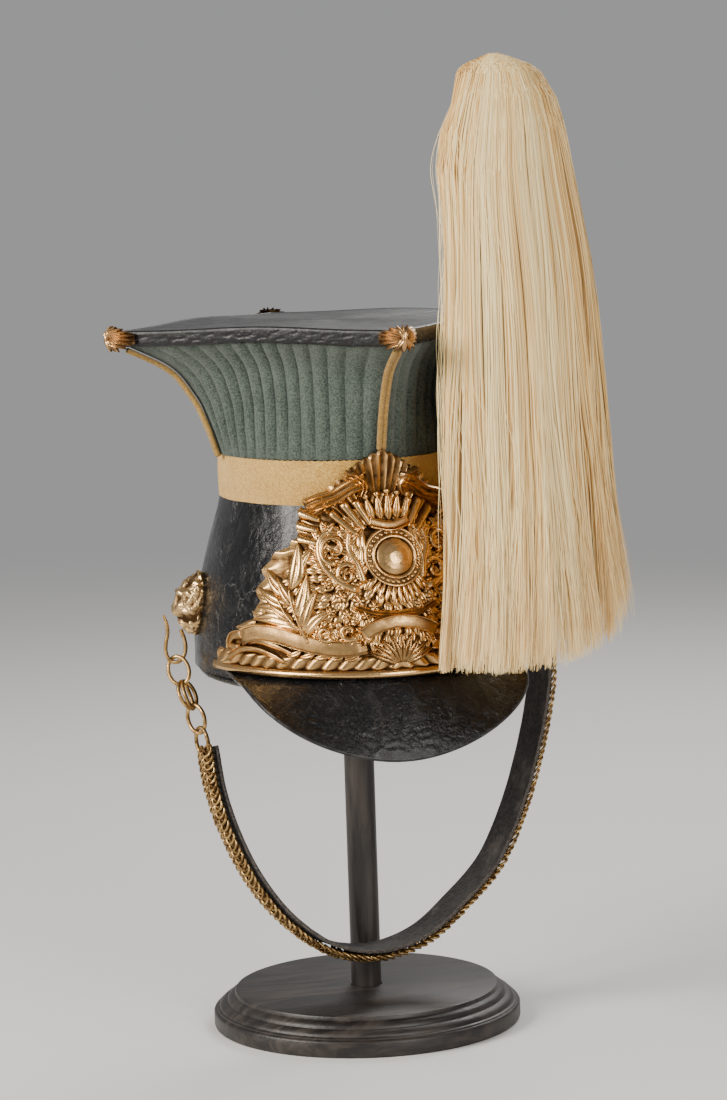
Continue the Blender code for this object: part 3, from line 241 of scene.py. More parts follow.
soft_panel("main_panel", (-1.5, -0.8, 1.05), (0.0, 0.0, 0.32), 0.9, 0.9, 52.0, (1.0, 0.95, 0.88))
soft_panel("fill_panel", (0.9, -1.5, 0.9), (0.0, 0.0, 0.32), 0.7, 1.0, 20.0, (1.0, 0.96, 0.91))
soft_panel("rim_panel", (0.5, 1.2, 1.2), (0.0, 0.0, 0.4), 0.8, 0.6, 12.0, (1.0, 0.98, 0.95))

# %% [markdown]
# ## Helpers for shapes
#
# Most pieces here are skins: a flat grid is made by the grid operator and each of its points is then
# moved to its place on the cap. Doing the move with numpy keeps even a fine skin quick. `u` runs round
# or along a piece and `v` across or up it, and both stay in the UV map, so weave and grain can follow
# the surface.

# %% Grid skins
MM = 0.001
WELD = 1e-6
CAP_X = -7.0 * MM
CAP_Y = 2.0 * MM


def smooth_share(share):
    """Ease from 0 to 1."""
    share = np.clip(share, 0.0, 1.0)
    return share * share * (3.0 - 2.0 * share)


def dense_curve(points, count=400):
    """A smooth curve through (x, y) points, as two arrays for np.interp."""
    xs, ys = np.array(points, float).T
    slopes = np.gradient(ys, xs)
    at = np.linspace(xs[0], xs[-1], count)
    i = np.clip(np.searchsorted(xs, at, side="right") - 1, 0, len(xs) - 2)
    width = xs[i + 1] - xs[i]
    t = (at - xs[i]) / width
    value = (
        (2 * t**3 - 3 * t**2 + 1) * ys[i]
        + (t**3 - 2 * t**2 + t) * width * slopes[i]
        + (3 * t**2 - 2 * t**3) * ys[i + 1]
        + (t**3 - t**2) * width * slopes[i + 1]
    )
    return at, value


def full_turn(count):
    """Evenly spaced angles all round, the first of them 0."""
    return np.linspace(0.0, math.tau, count, endpoint=False)


def columns_of(*parts):
    return np.stack(np.broadcast_arrays(*parts), axis=-1)


def unit_rows(rows):
    return rows / np.maximum(np.linalg.norm(rows, axis=1), 1e-9)[:, None]


def points_of(mesh, kind="co"):
    """Places or normals of a mesh's points, a row each."""
    flat = np.empty(len(mesh.vertices) * 3)
    mesh.vertices.foreach_get(kind, flat)
    return flat.reshape(-1, 3)


def move_points(mesh, spots):
    mesh.vertices.foreach_set("co", np.ascontiguousarray(spots).ravel())


def keep_mark(mesh, key, values):
    """Keep a value for each point of a mesh, which its material reads."""
    mark = mesh.attributes.new(key, "FLOAT", "POINT")
    mark.data.foreach_set("value", np.ascontiguousarray(values, float).ravel())


def reshaped(mesh, work):
    """Open a mesh as a bmesh, let work change it and write it back."""
    bm = bmesh.new()
    bm.from_mesh(mesh)
    work(bm)
    bm.to_mesh(mesh)
    bm.free()
    return mesh


def welded(mesh):
    return reshaped(mesh, lambda bm: bmesh.ops.remove_doubles(bm, verts=bm.verts, dist=WELD))


def open_edges(bm):
    return [edge for edge in bm.edges if edge.is_boundary]


def capped(mesh):
    """Fill the open ends of a skin."""
    return reshaped(mesh, lambda bm: bmesh.ops.holes_fill(bm, edges=open_edges(bm), sides=0))


def faced_out(mesh):
    """Point the faces of a mesh the same way, outwards where it is closed."""
    return reshaped(mesh, lambda bm: bmesh.ops.recalc_face_normals(bm, faces=bm.faces))


def walled(mesh, wall):
    """Give an open skin a wall on its inner side."""
    return reshaped(mesh, lambda bm: bmesh.ops.solidify(bm, geom=bm.faces[:], thickness=wall))


def shaped_mesh(name, columns, rows, place, closed=False):
    """A grid whose points place(u, v) moves to their spots; closed welds u = 0 to u = 1.
    A fourth column of place's answer is kept as the points' relief, which the finishes read."""

    def grid(bm):
        bm.loops.layers.uv.new("UVMap")
        bmesh.ops.create_grid(bm, x_segments=columns, y_segments=rows, size=0.5, calc_uvs=True)

    mesh = reshaped(bpy.data.meshes.new(name), grid)
    flat = points_of(mesh)
    spots = np.asarray(place(flat[:, 0] + 0.5, flat[:, 1] + 0.5), float)
    move_points(mesh, spots[:, :3])
    if spots.shape[1] == 4:
        keep_mark(mesh, "relief", spots[:, 3])
    return welded(mesh) if closed else mesh


# %% Pieces, facings and skirts
def new_piece(name, mesh, material, replaces=(), sharp=None):
    """Link a finished mesh as a piece that rides on the cap's one body."""
    piece = placed(name, mesh)
    mesh.materials.clear()
    mesh.materials.append(material)
    mesh.shade_smooth()
    if sharp is not None:
        mesh.set_sharp_from_angle(angle=math.radians(sharp))
    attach(piece, "root")
    if replaces:
        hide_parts(*replaces)
    print(name, sum(len(face.vertices) - 2 for face in mesh.polygons), "triangles")


def off_axis(mesh):
    """Turn an open skin's faces so that most of them look away from the cap's upright axis."""
    rows = np.empty((2, len(mesh.polygons) * 3))
    mesh.polygons.foreach_get("normal", rows[0])
    mesh.polygons.foreach_get("center", rows[1])
    normals, middles = rows.reshape(2, -1, 3)
    if (normals[:, :2] * (middles[:, :2] - np.array((CAP_X, CAP_Y)))).sum() < 0.0:
        mesh.flip_normals()
    return mesh


def skirted(mesh, depth):
    """Fold the open edges of a skin inwards, so that they show the thickness of its sheet."""

    def fold(bm):
        bm.normal_update()
        edges = open_edges(bm)
        normals = {vert: vert.normal.copy() for edge in edges for vert in edge.verts}
        for vert in bmesh.ops.extrude_edge_only(bm, edges=edges)["geom"]:
            if isinstance(vert, bmesh.types.BMVert):
                others = (edge.other_vert(vert) for edge in vert.link_edges)
                vert.co -= normals[next(other for other in others if other in normals)] * depth

    return reshaped(mesh, fold)


def joined_mesh(name, meshes):
    """One mesh from several, with their UV maps; the originals are removed."""
    bm = bmesh.new()
    for mesh in meshes:
        bm.from_mesh(mesh)
    merged = bpy.data.meshes.new(name)
    bm.to_mesh(merged)
    bm.free()
    for mesh in meshes:
        bpy.data.meshes.remove(mesh)
    return merged


# %% Turned shapes, tubes and many like skins
def spun_mesh(name, profile, steps):
    """A turned shape: (radius, height) points, in millimetres, spun round the vertical axis."""

    def spin(bm):
        verts = [bm.verts.new((radius * MM, 0.0, height * MM)) for radius, height in profile]
        edges = [bm.edges.new(pair) for pair in zip(verts, verts[1:])]
        turned = {"cent": (0, 0, 0), "axis": (0, 0, 1), "angle": math.tau, "steps": steps, "use_merge": True}
        bmesh.ops.spin(bm, geom=verts + edges, **turned)

    return faced_out(welded(reshaped(bpy.data.meshes.new(name), spin)))


def frames_along(points, first_side):
    """Side and lift of each point of a path, carried along without twist."""
    tangents = np.gradient(points, axis=0)
    tangents /= np.linalg.norm(tangents, axis=1)[:, None]
    side = np.array(first_side, float)
    sides = []
    for tangent in tangents:
        side = side - tangent * side.dot(tangent)
        side = side / np.linalg.norm(side)
        sides.append(side)
    return np.array(sides), np.cross(tangents, sides)


def frames_round(points, first_side):
    """Side and lift of each point of a closed path."""
    ahead = np.roll(points, -1, axis=0) - np.roll(points, 1, axis=0)
    tangents = ahead / np.linalg.norm(ahead, axis=1)[:, None]
    side = np.array(first_side, float)
    side = side / np.linalg.norm(side)
    sides = side - tangents * (tangents @ side)[:, None]
    sides /= np.linalg.norm(sides, axis=1)[:, None]
    return sides, np.cross(tangents, sides)


def tube_mesh(name, points, radius, sides=12, first_side=(0.0, 1.0, 0.0), loop=False):
    """A round tube along a path of points; radius may change along it."""
    points = np.asarray(points, float)
    rows = len(points)
    steps = rows if loop else rows - 1
    sides_at, lifts = (frames_round if loop else frames_along)(points, first_side)
    radii = np.broadcast_to(radius, rows)

    def place(u, v):
        row = np.rint(v * steps).astype(int) % rows
        turn = u * math.tau
        ring = np.cos(turn)[:, None] * sides_at[row] + np.sin(turn)[:, None] * lifts[row]
        return points[row] + ring * radii[row][:, None]

    mesh = shaped_mesh(name, sides, steps, place, closed=True)
    return faced_out(mesh if loop else capped(mesh))


def many_skins(name, spots, ring=False, loop=False, **marks):
    """One mesh of many like skins from an array of points (skin, row, column, 3). ring closes every
    row on itself and loop closes the rows; marks are values for the points, by the names they get."""
    count, rows, columns = spots.shape[:3]
    index = np.arange(count * rows * columns).reshape(count, rows, columns)
    beside = np.roll(index, -1, axis=2)
    ahead = np.roll(index, -1, axis=1)
    across = np.roll(ahead, -1, axis=2)
    faces = np.stack((index, beside, across, ahead), axis=-1)
    if not ring:
        faces = faces[:, :, :-1]
    if not loop:
        faces = faces[:, :-1]
    mesh = bpy.data.meshes.new(name)
    mesh.from_pydata(spots.reshape(-1, 3), (), faces.reshape(-1, 4))
    for key, values in marks.items():
        keep_mark(mesh, key, np.broadcast_to(values, spots.shape[:3]))
    return mesh


print("helpers ready")

# %% [markdown]
# ## Shared finishes
#
# Several finishes need the same effect: cracks in old lacquer, fine fibres, worn high spots. Each such
# effect is a node group with named sockets, made once and placed in every material that needs it with
# its own values. Plain numbers stay on the shader itself.

# %% Node groups
SOCKET_KINDS = {"f": "NodeSocketFloat", "v": "NodeSocketVector", "c": "NodeSocketColor"}


def new_group(name, ins, outs):
    """An empty node group; a socket is a title and f, v or c for a float, vector or colour."""
    group = bpy.data.node_groups.new(name, "ShaderNodeTree")
    for way, sockets in (("INPUT", ins), ("OUTPUT", outs)):
        for title, kind in sockets:
            group.interface.new_socket(title, in_out=way, socket_type=SOCKET_KINDS[kind])
    entry = group.nodes.new("NodeGroupInput")
    leave = group.nodes.new("NodeGroupOutput")
    print("group", name)
    return group, entry.outputs, leave.inputs


def use_group(tree, group, **inputs):
    return add_node(tree, "ShaderNodeGroup", inputs, node_tree=group).outputs


# %% Cracked lacquer group
cracks, ins, outs = new_group(
    "cracked_lacquer",
    (("Where", "v"), ("Cell", "f"), ("Width", "f"), ("Spread", "f")),
    (("Cracks", "f"), ("Swell", "f")),
)
DRIFT = (0.011, 0.011, 0.011)
SQUASH = (1.0, 1.0, 0.42)
drift_inputs = {"Vector": ins["Where"], "Scale": 95.0, "Detail": 5.0, "Roughness": 0.65}
drift = add_node(cracks, "ShaderNodeTexNoise", drift_inputs).outputs["Color"]
shifted = add_node(cracks, "ShaderNodeVectorMath", {0: drift, 1: DRIFT}, operation="MULTIPLY").outputs[0]
bent = add_node(cracks, "ShaderNodeVectorMath", {0: ins["Where"], 1: shifted}, operation="ADD").outputs[0]
laid = add_node(cracks, "ShaderNodeMapping", {"Vector": bent, "Scale": SQUASH}).outputs[0]


def crack_lines(cell, width):
    """Share of crack along the edges of cells, each edge no wider than width."""
    inputs = {"Vector": laid, "Scale": cell}
    cells = add_node(cracks, "ShaderNodeTexVoronoi", inputs, feature="DISTANCE_TO_EDGE")
    return ranged(cracks, cells.outputs[0], 0.0, width, 1.0, 0.0)


wide_line = crack_lines(ins["Cell"], ins["Width"])
fine_line = crack_lines(times(cracks, ins["Cell"], 2.3), times(cracks, ins["Width"], 1.2))
patches = ranged(cracks, noise(cracks, ins["Where"], 30.0, 2.0), 0.46, 0.58)
broken = ranged(cracks, noise(cracks, ins["Where"], 120.0, 2.0), 0.42, 0.56)
fine_line = times(cracks, times(cracks, fine_line, patches), 0.6)
both = maths(cracks, "MAXIMUM", times(cracks, wide_line, broken), fine_line)
cracks.links.new(maths(cracks, "MULTIPLY", both, ins["Spread"], clamp=True), outs["Cracks"])
cracks.links.new(noise(cracks, ins["Where"], 55.0, 3.0, 0.55), outs["Swell"])

# %% Fibre group, for wool, lace, cord and lining
fibres, ins, outs = new_group(
    "fibres", (("Where", "v"), ("Size", "f"), ("Dark", "c"), ("Light", "c")), (("Colour", "c"), ("Nap", "f"))
)
tufts = noise(fibres, ins["Where"], ins["Size"], 4.0, 0.7)
hairs = noise(fibres, ins["Where"], times(fibres, ins["Size"], 2.6), 2.0, 0.6, 0.6)
drifted = ranged(fibres, noise(fibres, ins["Where"], 60.0, 2.0), 0.3, 0.7, -0.12, 0.12)
light_share = plus(fibres, ranged(fibres, tufts, 0.34, 0.66), drifted)
fibres.links.new(mixed(fibres, light_share, ins["Dark"], ins["Light"]), outs["Colour"])
fibres.links.new(plus(fibres, times(fibres, tufts, 0.6), times(fibres, hairs, 0.4)), outs["Nap"])

# %% Old brass group: bright where the relief stands high, brown in its depths, which is patina and painted shade
patina_and_shade, ins, outs = new_group(
    "patina_and_shade",
    (("Where", "v"), ("Relief", "f"), ("Bright", "c"), ("Dull", "c"), ("Polish", "f")),
    (("Colour", "c"), ("Roughness", "f"), ("Grain", "f")),
)
spots = ranged(patina_and_shade, noise(patina_and_shade, ins["Where"], 150.0, 4.0, 0.6), 0.3, 0.7, -0.22, 0.18)
grain = noise(patina_and_shade, ins["Where"], 900.0, 3.0, 0.6)
# Low relief gets the dull colour: patina in the hollows, and painted shade in them and round the edges of the
# raised work.
high = plus(patina_and_shade, ins["Relief"], spots, clamp=True)
patina_and_shade.links.new(mixed(patina_and_shade, high, ins["Dull"], ins["Bright"]), outs["Colour"])
rough = plus(patina_and_shade, ranged(patina_and_shade, high, 0.0, 1.0, 0.40, 0.0), ins["Polish"])
patina_and_shade.links.new(plus(patina_and_shade, rough, ranged(patina_and_shade, grain, 0.3, 0.7, -0.03, 0.05)), outs["Roughness"])
patina_and_shade.links.new(grain, outs["Grain"])

# %% [markdown]
# ## The materials
#
# Patent leather is black lacquer on leather: a dark base with a hard clear coat, broken by age into
# lines that show grey. Wool gets no gloss but a soft sheen at grazing angles. Brass is a metal whose
# colour is in its reflection, so its base colour is its tint, and dirt and painted shade darken its low
# places.

# %% Patent leather, in three strengths of cracking
LACQUER = (0.0042, 0.0042, 0.0048)


def patent_leather(name, cell, width, spread, crack_grey, depth, pebble, wrinkle, gloss):
    """Old lacquer: size, width, share, grey and depth of its cracks, strength of its pebbles and
    wrinkles, and how rough its gloss is."""
    material, tree, shader, where = new_finish(
        name, Specular_IOR_Level=0.25, Coat_Weight=0.25, Coat_Roughness=gloss, Coat_IOR=1.38
    )
    old = use_group(tree, cracks, Where=where, Cell=cell, Width=width, Spread=spread)
    scuffs = times(tree, ranged(tree, noise(tree, where, 46.0, 5.0, 0.7), 0.56, 0.74), 0.04)
    # The relief mark pales the lacquer: wear on the peak's creases, and on its free edge wear with a painted
    # highlight.
    worn = plus(tree, times(tree, mark_of(tree, "relief"), 0.8), scuffs)
    pale = maths(tree, "MAXIMUM", old["Cracks"], worn, clamp=True)
    grey = (crack_grey, crack_grey * 0.97, crack_grey * 0.93)
    rough = ranged(tree, old["Swell"], 0.3, 0.7, gloss, gloss + 0.16)
    pebbles = add_node(tree, "ShaderNodeTexVoronoi", {"Vector": where, "Scale": 620.0}).outputs[0]
    skin = bump(tree, pebbles, 0.00045, pebble)
    skin = bump(tree, noise(tree, where, 190.0, 5.0, 0.62, 0.6), 0.0011, wrinkle, skin)
    skin = bump(tree, old["Swell"], 0.0022, 0.45, skin)
    feed(
        tree,
        shader,
        Base_Color=mixed(tree, pale, LACQUER, grey),
        Roughness=plus(tree, times(tree, pale, 0.35), rough),
        Normal=bump(tree, maths(tree, "SUBTRACT", 1.0, old["Cracks"]), depth, 0.8, skin),
    )
    return material


skull_finish = patent_leather("skull_patent_leather", 70.0, 0.013, 0.70, 0.15, 0.0005, 0.16, 0.75, 0.12)
peak_finish = patent_leather("peak_patent_leather", 105.0, 0.016, 0.45, 0.07, 0.0006, 0.55, 0.90, 0.20)
board_finish = patent_leather("board_patent_leather", 150.0, 0.022, 0.45, 0.05, 0.0005, 0.30, 0.35, 0.31)
print("patent leather ready")

# %% Wool, lace and cords
wool_finish, tree, shader, where = new_finish(
    "grey_green_wool", Roughness=0.95, Sheen_Weight=0.16, Sheen_Roughness=0.5, Specular_IOR_Level=0.2
)
WOOL_DARK, WOOL_LIGHT = (0.031, 0.044, 0.037), (0.108, 0.134, 0.109)
wool = use_group(tree, fibres, Where=where, Size=1050.0, Dark=WOOL_DARK, Light=WOOL_LIGHT)
feed(tree, shader, Base_Color=wool["Colour"], Normal=bump(tree, wool["Nap"], 0.0009, 0.7))


def woven_finish(name, dark, light, run, pitch, slant, depth):
    """Woven lace or cord: slanted ribs follow the UV map, whose u is run millimetres long, with painted shade
    darkening the valleys between them.
    """
    material, tree, shader, where = new_finish(
        name, Roughness=0.85, Sheen_Weight=0.25, Sheen_Roughness=0.45, Specular_IOR_Level=0.25
    )
    sheet = add_node(tree, "ShaderNodeTexCoord").outputs["UV"]
    apart = add_node(tree, "ShaderNodeSeparateXYZ", {0: sheet}).outputs
    slanted = plus(tree, times(tree, apart[0], run / pitch), times(tree, apart[1], slant))
    ribs = ranged(tree, maths(tree, "SINE", times(tree, slanted, math.tau), 0.0), -1.0, 1.0)
    yarn = use_group(tree, fibres, Where=where, Size=800.0, Dark=dark, Light=light)
    shade = times(tree, maths(tree, "SUBTRACT", 1.0, ribs), 0.6)
    height = plus(tree, times(tree, ribs, 0.7), times(tree, yarn["Nap"], 0.5))
    # Painted shade: the valleys between the ribs get a darker colour.
    valley_shade_colour = tuple(part * 0.55 for part in dark)
    colour = mixed(tree, shade, yarn["Colour"], valley_shade_colour)
    feed(tree, shader, Base_Color=colour, Normal=bump(tree, height, depth, 0.8))
    return material


LACE = ((0.62, 0.32, 0.055), (1.0, 0.64, 0.165))
CORD = ((0.46, 0.245, 0.040), (0.80, 0.50, 0.125))
THREAD = ((0.20, 0.115, 0.035), (0.42, 0.26, 0.09))
lace_finish = woven_finish("twill_lace", *LACE, run=560.0, pitch=1.75, slant=15.0, depth=0.0012)
cord_finish = woven_finish("mustard_cord", *CORD, run=70.0, pitch=1.9, slant=2.0, depth=0.0006)
stitch_finish = woven_finish("stitching_thread", *THREAD, run=4.0, pitch=1.0, slant=2.0, depth=0.0002)
print("cloth finishes ready")


# %% Brass, gilt and tarnished
def brass_finish(name, bright, dull, polish, plain_relief=None):
    """Aged brass, dull where the relief is low, which on stamped work is dirt and painted shade; a piece with
    no relief of its own gets one from noise, between two values.
    """
    material, tree, shader, where = new_finish(name, Metallic=1.0)
    if plain_relief is None:
        relief = mark_of(tree, "relief")
    else:
        relief = ranged(tree, noise(tree, where, 300.0, 3.0), 0.3, 0.7, *plain_relief)
    aged = use_group(tree, patina_and_shade, Where=where, Relief=relief, Bright=bright, Dull=dull, Polish=polish)
    grain = bump(tree, aged["Grain"], 0.00014, 0.5)
    feed(tree, shader, Base_Color=aged["Colour"], Roughness=aged["Roughness"], Normal=grain)
    return material


RELIEF_BRASS = ((0.74, 0.455, 0.185), (0.058, 0.025, 0.008))
MASK_BRASS = ((0.82, 0.56, 0.27), (0.060, 0.030, 0.011))
LEAF_BRASS = ((0.52, 0.315, 0.145), (0.035, 0.016, 0.006))
WIRE_BRASS = ((0.60, 0.385, 0.15), (0.20, 0.105, 0.035))
RING_BRASS = ((0.56, 0.37, 0.15), (0.13, 0.07, 0.028))
gilt_finish = brass_finish("gilding_metal_relief", *RELIEF_BRASS, 0.20)
mask_gilt_finish = brass_finish("gilding_metal_mask", *MASK_BRASS, 0.22)
leaf_gilt_finish = brass_finish("gilding_metal_leaf", *LEAF_BRASS, 0.26)
wire_finish = brass_finish("tarnished_brass_wire", *WIRE_BRASS, 0.24, (0.35, 1.0))
chain_finish = brass_finish("tarnished_brass_rings", *RING_BRASS, 0.28, (0.1, 1.0))
print("brass finishes ready")


# %% Dark wood and strap leather
def stained_wood(name, across):
    """Near-black stain over straight grain; across scales the pattern on each axis."""
    material, tree, shader, where = new_finish(name, Specular_IOR_Level=0.45)
    laid = add_node(tree, "ShaderNodeMapping", {"Vector": where, "Scale": across}).outputs[0]
    grain = noise(tree, laid, 60.0, 5.0, 0.65, 0.8)
    pores = noise(tree, laid, 420.0, 2.0, 0.5)
    lines = ranged(tree, grain, 0.40, 0.66)
    feed(
        tree,
        shader,
        Base_Color=mixed(tree, lines, (0.011, 0.0085, 0.0075), (0.040, 0.031, 0.026)),
        Roughness=ranged(tree, grain, 0.2, 0.8, 0.34, 0.54),
        Normal=bump(tree, plus(tree, times(tree, grain, 0.6), times(tree, pores, 0.4)), 0.0006, 0.6),
    )
    return material


foot_finish = stained_wood("stand_foot_wood", (0.25, 1.6, 1.6))
post_finish = stained_wood("stand_post_wood", (2.2, 2.2, 0.22))

lining_finish, tree, shader, where = new_finish(
    "strap_lining", Roughness=0.8, Sheen_Weight=0.08, Specular_IOR_Level=0.25
)
LINING_DARK, LINING_LIGHT = (0.0055, 0.0045, 0.004), (0.024, 0.020, 0.018)
lining = use_group(tree, fibres, Where=where, Size=420.0, Dark=LINING_DARK, Light=LINING_LIGHT)
rubbed = ranged(tree, noise(tree, where, 62.0, 4.0, 0.6), 0.48, 0.72, 0.0, 0.45)
flecks = ranged(tree, noise(tree, where, 900.0, 2.0), 0.35, 0.65, 0.35, 1.0)
pale = maths(tree, "MAXIMUM", rubbed, times(tree, mark_of(tree, "relief"), flecks))
feed(
    tree,
    shader,
    Base_Color=mixed(tree, pale, lining["Colour"], (0.10, 0.086, 0.076)),
    Normal=bump(tree, lining["Nap"], 0.0014, 0.9),
)
print("wood and lining ready")

# %% [markdown]
# ## The stand
#
# The stand is plain turned wood: a foot with a stepped moulding and a post. A spin makes a turned
# piece from half its outline, as a lathe does, so the steps of the moulding are simply points of
# that outline. The head of the post, hidden inside the cap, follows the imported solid.

# %% Foot and post
FOOT_STEPS, POST_STEPS = 128, 48
FOOT_PROFILE = (
    (0.0, 8.3), (8.7, 8.3), (8.75, 19.9), (9.1, 20.2), (73.4, 20.2), (74.3, 19.9), (74.7, 19.2),
    (74.9, 17.9), (75.6, 17.5), (77.0, 17.0), (78.4, 16.0), (79.0, 14.8), (79.2, 14.2), (80.2, 14.0),
    (81.6, 13.5), (82.9, 12.6), (83.7, 11.6), (83.9, 10.9), (84.5, 10.7), (85.2, 10.4), (85.3, 9.7),
    (85.9, 9.5), (86.6, 9.0), (87.0, 8.2), (87.0, 1.4), (86.7, 0.5), (86.0, 0.0), (0.0, 0.0),
)
foot_mesh = spun_mesh("foot_wood", FOOT_PROFILE, FOOT_STEPS)
new_piece("foot_wood", foot_mesh, foot_finish, ("stand_foot",), sharp=32)

POST_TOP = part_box("stand_post")[1].z / MM
POST_FOOT = ((0.0, 8.6), (8.45, 8.6), (8.5, 10.0))
POST_SHAFT = ((8.5, 60.0), (8.5, 120.0), (8.5, 180.0), (8.5, 240.0), (8.5, 300.0))
POST_HEAD = (
    (9.4, -25.4), (37.5, -21.2), (39.6, -18.4), (39.7, -15.6), (37.6, -12.0), (31.5, -8.0), (18.0, -1.8),
    (8.0, -0.4), (0.0, 0.0),
)
post_head = [(radius, POST_TOP + below) for radius, below in POST_HEAD]
post_mesh = spun_mesh("post_wood", [*POST_FOOT, *POST_SHAFT, *post_head], POST_STEPS)
new_piece("post_wood", post_mesh, post_finish, ("stand_post",), sharp=40)

# %% [markdown]
# ## The skull and the peak
#
# The skull is stiff leather blocked to a head: an oval rim that draws in to a narrow waist. Its
# half-length and half-width at each height come from one smooth curve, and every piece that sits on
# it, from the lace to the plate, asks the same function for its place.

# %% The skull's form
RIM = 207.0 * MM
WAIST = 302.0 * MM
RIM_LONG, RIM_WIDE = 102.0 * MM, 78.5 * MM
WAIST_LONG, WAIST_WIDE = 76.0 * MM, 61.5 * MM
SKULL_ROWS = ((0.0, 1.0), (0.26, 0.93), (0.44, 0.79), (0.59, 0.59), (0.77, 0.35), (0.905, 0.12), (1.0, 0.0))
REACH = dense_curve(SKULL_ROWS)


def skull_axes(z):
    """Half length and half width of the skull at heights z."""
    reach = np.interp((z - RIM) / (WAIST - RIM), *REACH)
    return WAIST_LONG + reach * (RIM_LONG - WAIST_LONG), WAIST_WIDE + reach * (RIM_WIDE - WAIST_WIDE)


def skull_spot(angle, z, out=0.0):
    """Places out from the skull; the angle runs from the front to the wearer's left."""
    half_long, half_wide = skull_axes(z)
    x = CAP_X + (half_wide + out) * np.sin(angle)
    y = CAP_Y - (half_long + out) * np.cos(angle)
    return columns_of(x, y, z)


def ripple(points, size, seed):
    """Smooth pseudo-noise between -1 and 1 for arrays of points, from a few crossed waves."""
    total = 0.0
    for k in range(5):
        swing = (math.sin(seed + 2.1 * k), math.cos(1.7 * seed + 1.3 * k), math.sin(0.6 * seed + 3.7 * k))
        phase = points @ np.array(swing) * (math.tau / size) * (1.0 + 0.37 * k)
        total = total + np.sin(phase + seed * 3.1 + k) / (1.0 + 0.5 * k)
    return total / 3.0


CROWN_RISE = 34.0 * MM
CROWN_FROM = 0.72


def skull_place(u, v):
    angle = u * math.tau
    wall = np.clip(v / CROWN_FROM, 0.0, 1.0)
    crown = np.clip((v - CROWN_FROM) / (1.0 - CROWN_FROM), 0.0, 1.0)
    z = RIM + wall * (WAIST - RIM)
    spots = skull_spot(angle, z)
    dents = (0.5 * ripple(spots, 0.045, 2.0) + 0.16 * ripple(spots, 0.013, 6.0)) * MM
    dents = dents * smooth_share(wall * 5.0) * (1.0 - smooth_share(wall * 8.0 - 7.0))
    half_long, half_wide = skull_axes(z)
    size = np.cos(crown * math.pi / 2.0) ** 0.55
    spots[:, 0] = CAP_X + (half_wide + dents) * np.sin(angle) * size
    spots[:, 1] = CAP_Y - (half_long + dents) * np.cos(angle) * size
    spots[:, 2] = z + CROWN_RISE * np.sin(crown * math.pi / 2.0) ** 1.3
    return spots


skull_mesh = walled(off_axis(shaped_mesh("skull_leather", 180, 72, skull_place, closed=True)), -2.8 * MM)
new_piece("skull_leather", skull_mesh, skull_finish, ("skull",), sharp=50)

# %% The rolled rim
ROLL_RADIUS = 2.1 * MM
ROLL_IN = 1.5 * MM
ROLL_Z = RIM - 2.5 * MM
ROLL_STEPS = 240
ring_turns = full_turn(ROLL_STEPS)
half_long, half_wide = skull_axes(np.full(ROLL_STEPS, RIM))
ring_x = CAP_X + (half_wide - ROLL_IN) * np.sin(ring_turns)
ring_y = CAP_Y - (half_long - ROLL_IN) * np.cos(ring_turns)
ring_points = columns_of(ring_x, ring_y, ROLL_Z)
crumpled = ROLL_RADIUS * (0.92 + 0.10 * ripple(ring_points, 0.016, 5.0))
roll_mesh = tube_mesh("rim_roll", ring_points, crumpled, 10, (0, 0, 1), loop=True)
new_piece("rim_roll", roll_mesh, peak_finish, ("rim_binding",))

# %% [markdown]
# The peak is cut as a crescent and bent over the brow. Its seam runs along the skull and its free edge
# follows a drooping curve; between the two the leather swells a little. Its skin is one closed sheet
# that runs out along the upper face, turns round the edge and comes back underneath. A hard old peak is
# not even, so shallow waves, upright creases and fine lines are pressed into it.

# %% The peak
PEAK_WALL = 2.0 * MM
PEAK_SEAM = 5.0 * MM
PEAK_WIDE, PEAK_LONG, PEAK_DROP, PEAK_SKEW = 77.5 * MM, 130.0 * MM, 40.4 * MM, -5.0 * MM
PEAK_END = math.radians(75.0)
SEAM_OUT = 2.6 * MM
PEAK_BENDS = (0.0, 0.56, 0.62, 1.0)


def peak_plain(side, reach):
    """Smooth upper face: side runs from the wearer's right to left, reach from the seam to the edge."""
    turn = side * math.radians(84.0)
    seam = skull_spot(side * PEAK_END, np.full_like(side, RIM + PEAK_SEAM), SEAM_OUT)
    across = PEAK_WIDE * np.sin(turn) * (1.0 + 0.073 * np.sin(2.0 * np.abs(turn)))
    back = PEAK_WIDE * 0.36
    forward = back + (PEAK_LONG - back) * np.maximum(np.cos(turn), 0.0) ** 0.38
    edge = columns_of(
        CAP_X + across + PEAK_SKEW * np.cos(turn),
        CAP_Y - forward,
        RIM + PEAK_SEAM - PEAK_DROP * np.maximum(np.cos(turn), 0.0) ** 1.62,
    )
    spots = seam + (edge - seam) * reach[:, None]
    outward = edge - seam
    outward[:, 2] = 0.0
    outward /= np.linalg.norm(outward, axis=1)[:, None]
    swell = 2.6 * MM * 4.0 * reach * (1.0 - reach) * np.cos(side * math.pi / 2.0)
    return spots + outward * swell[:, None]


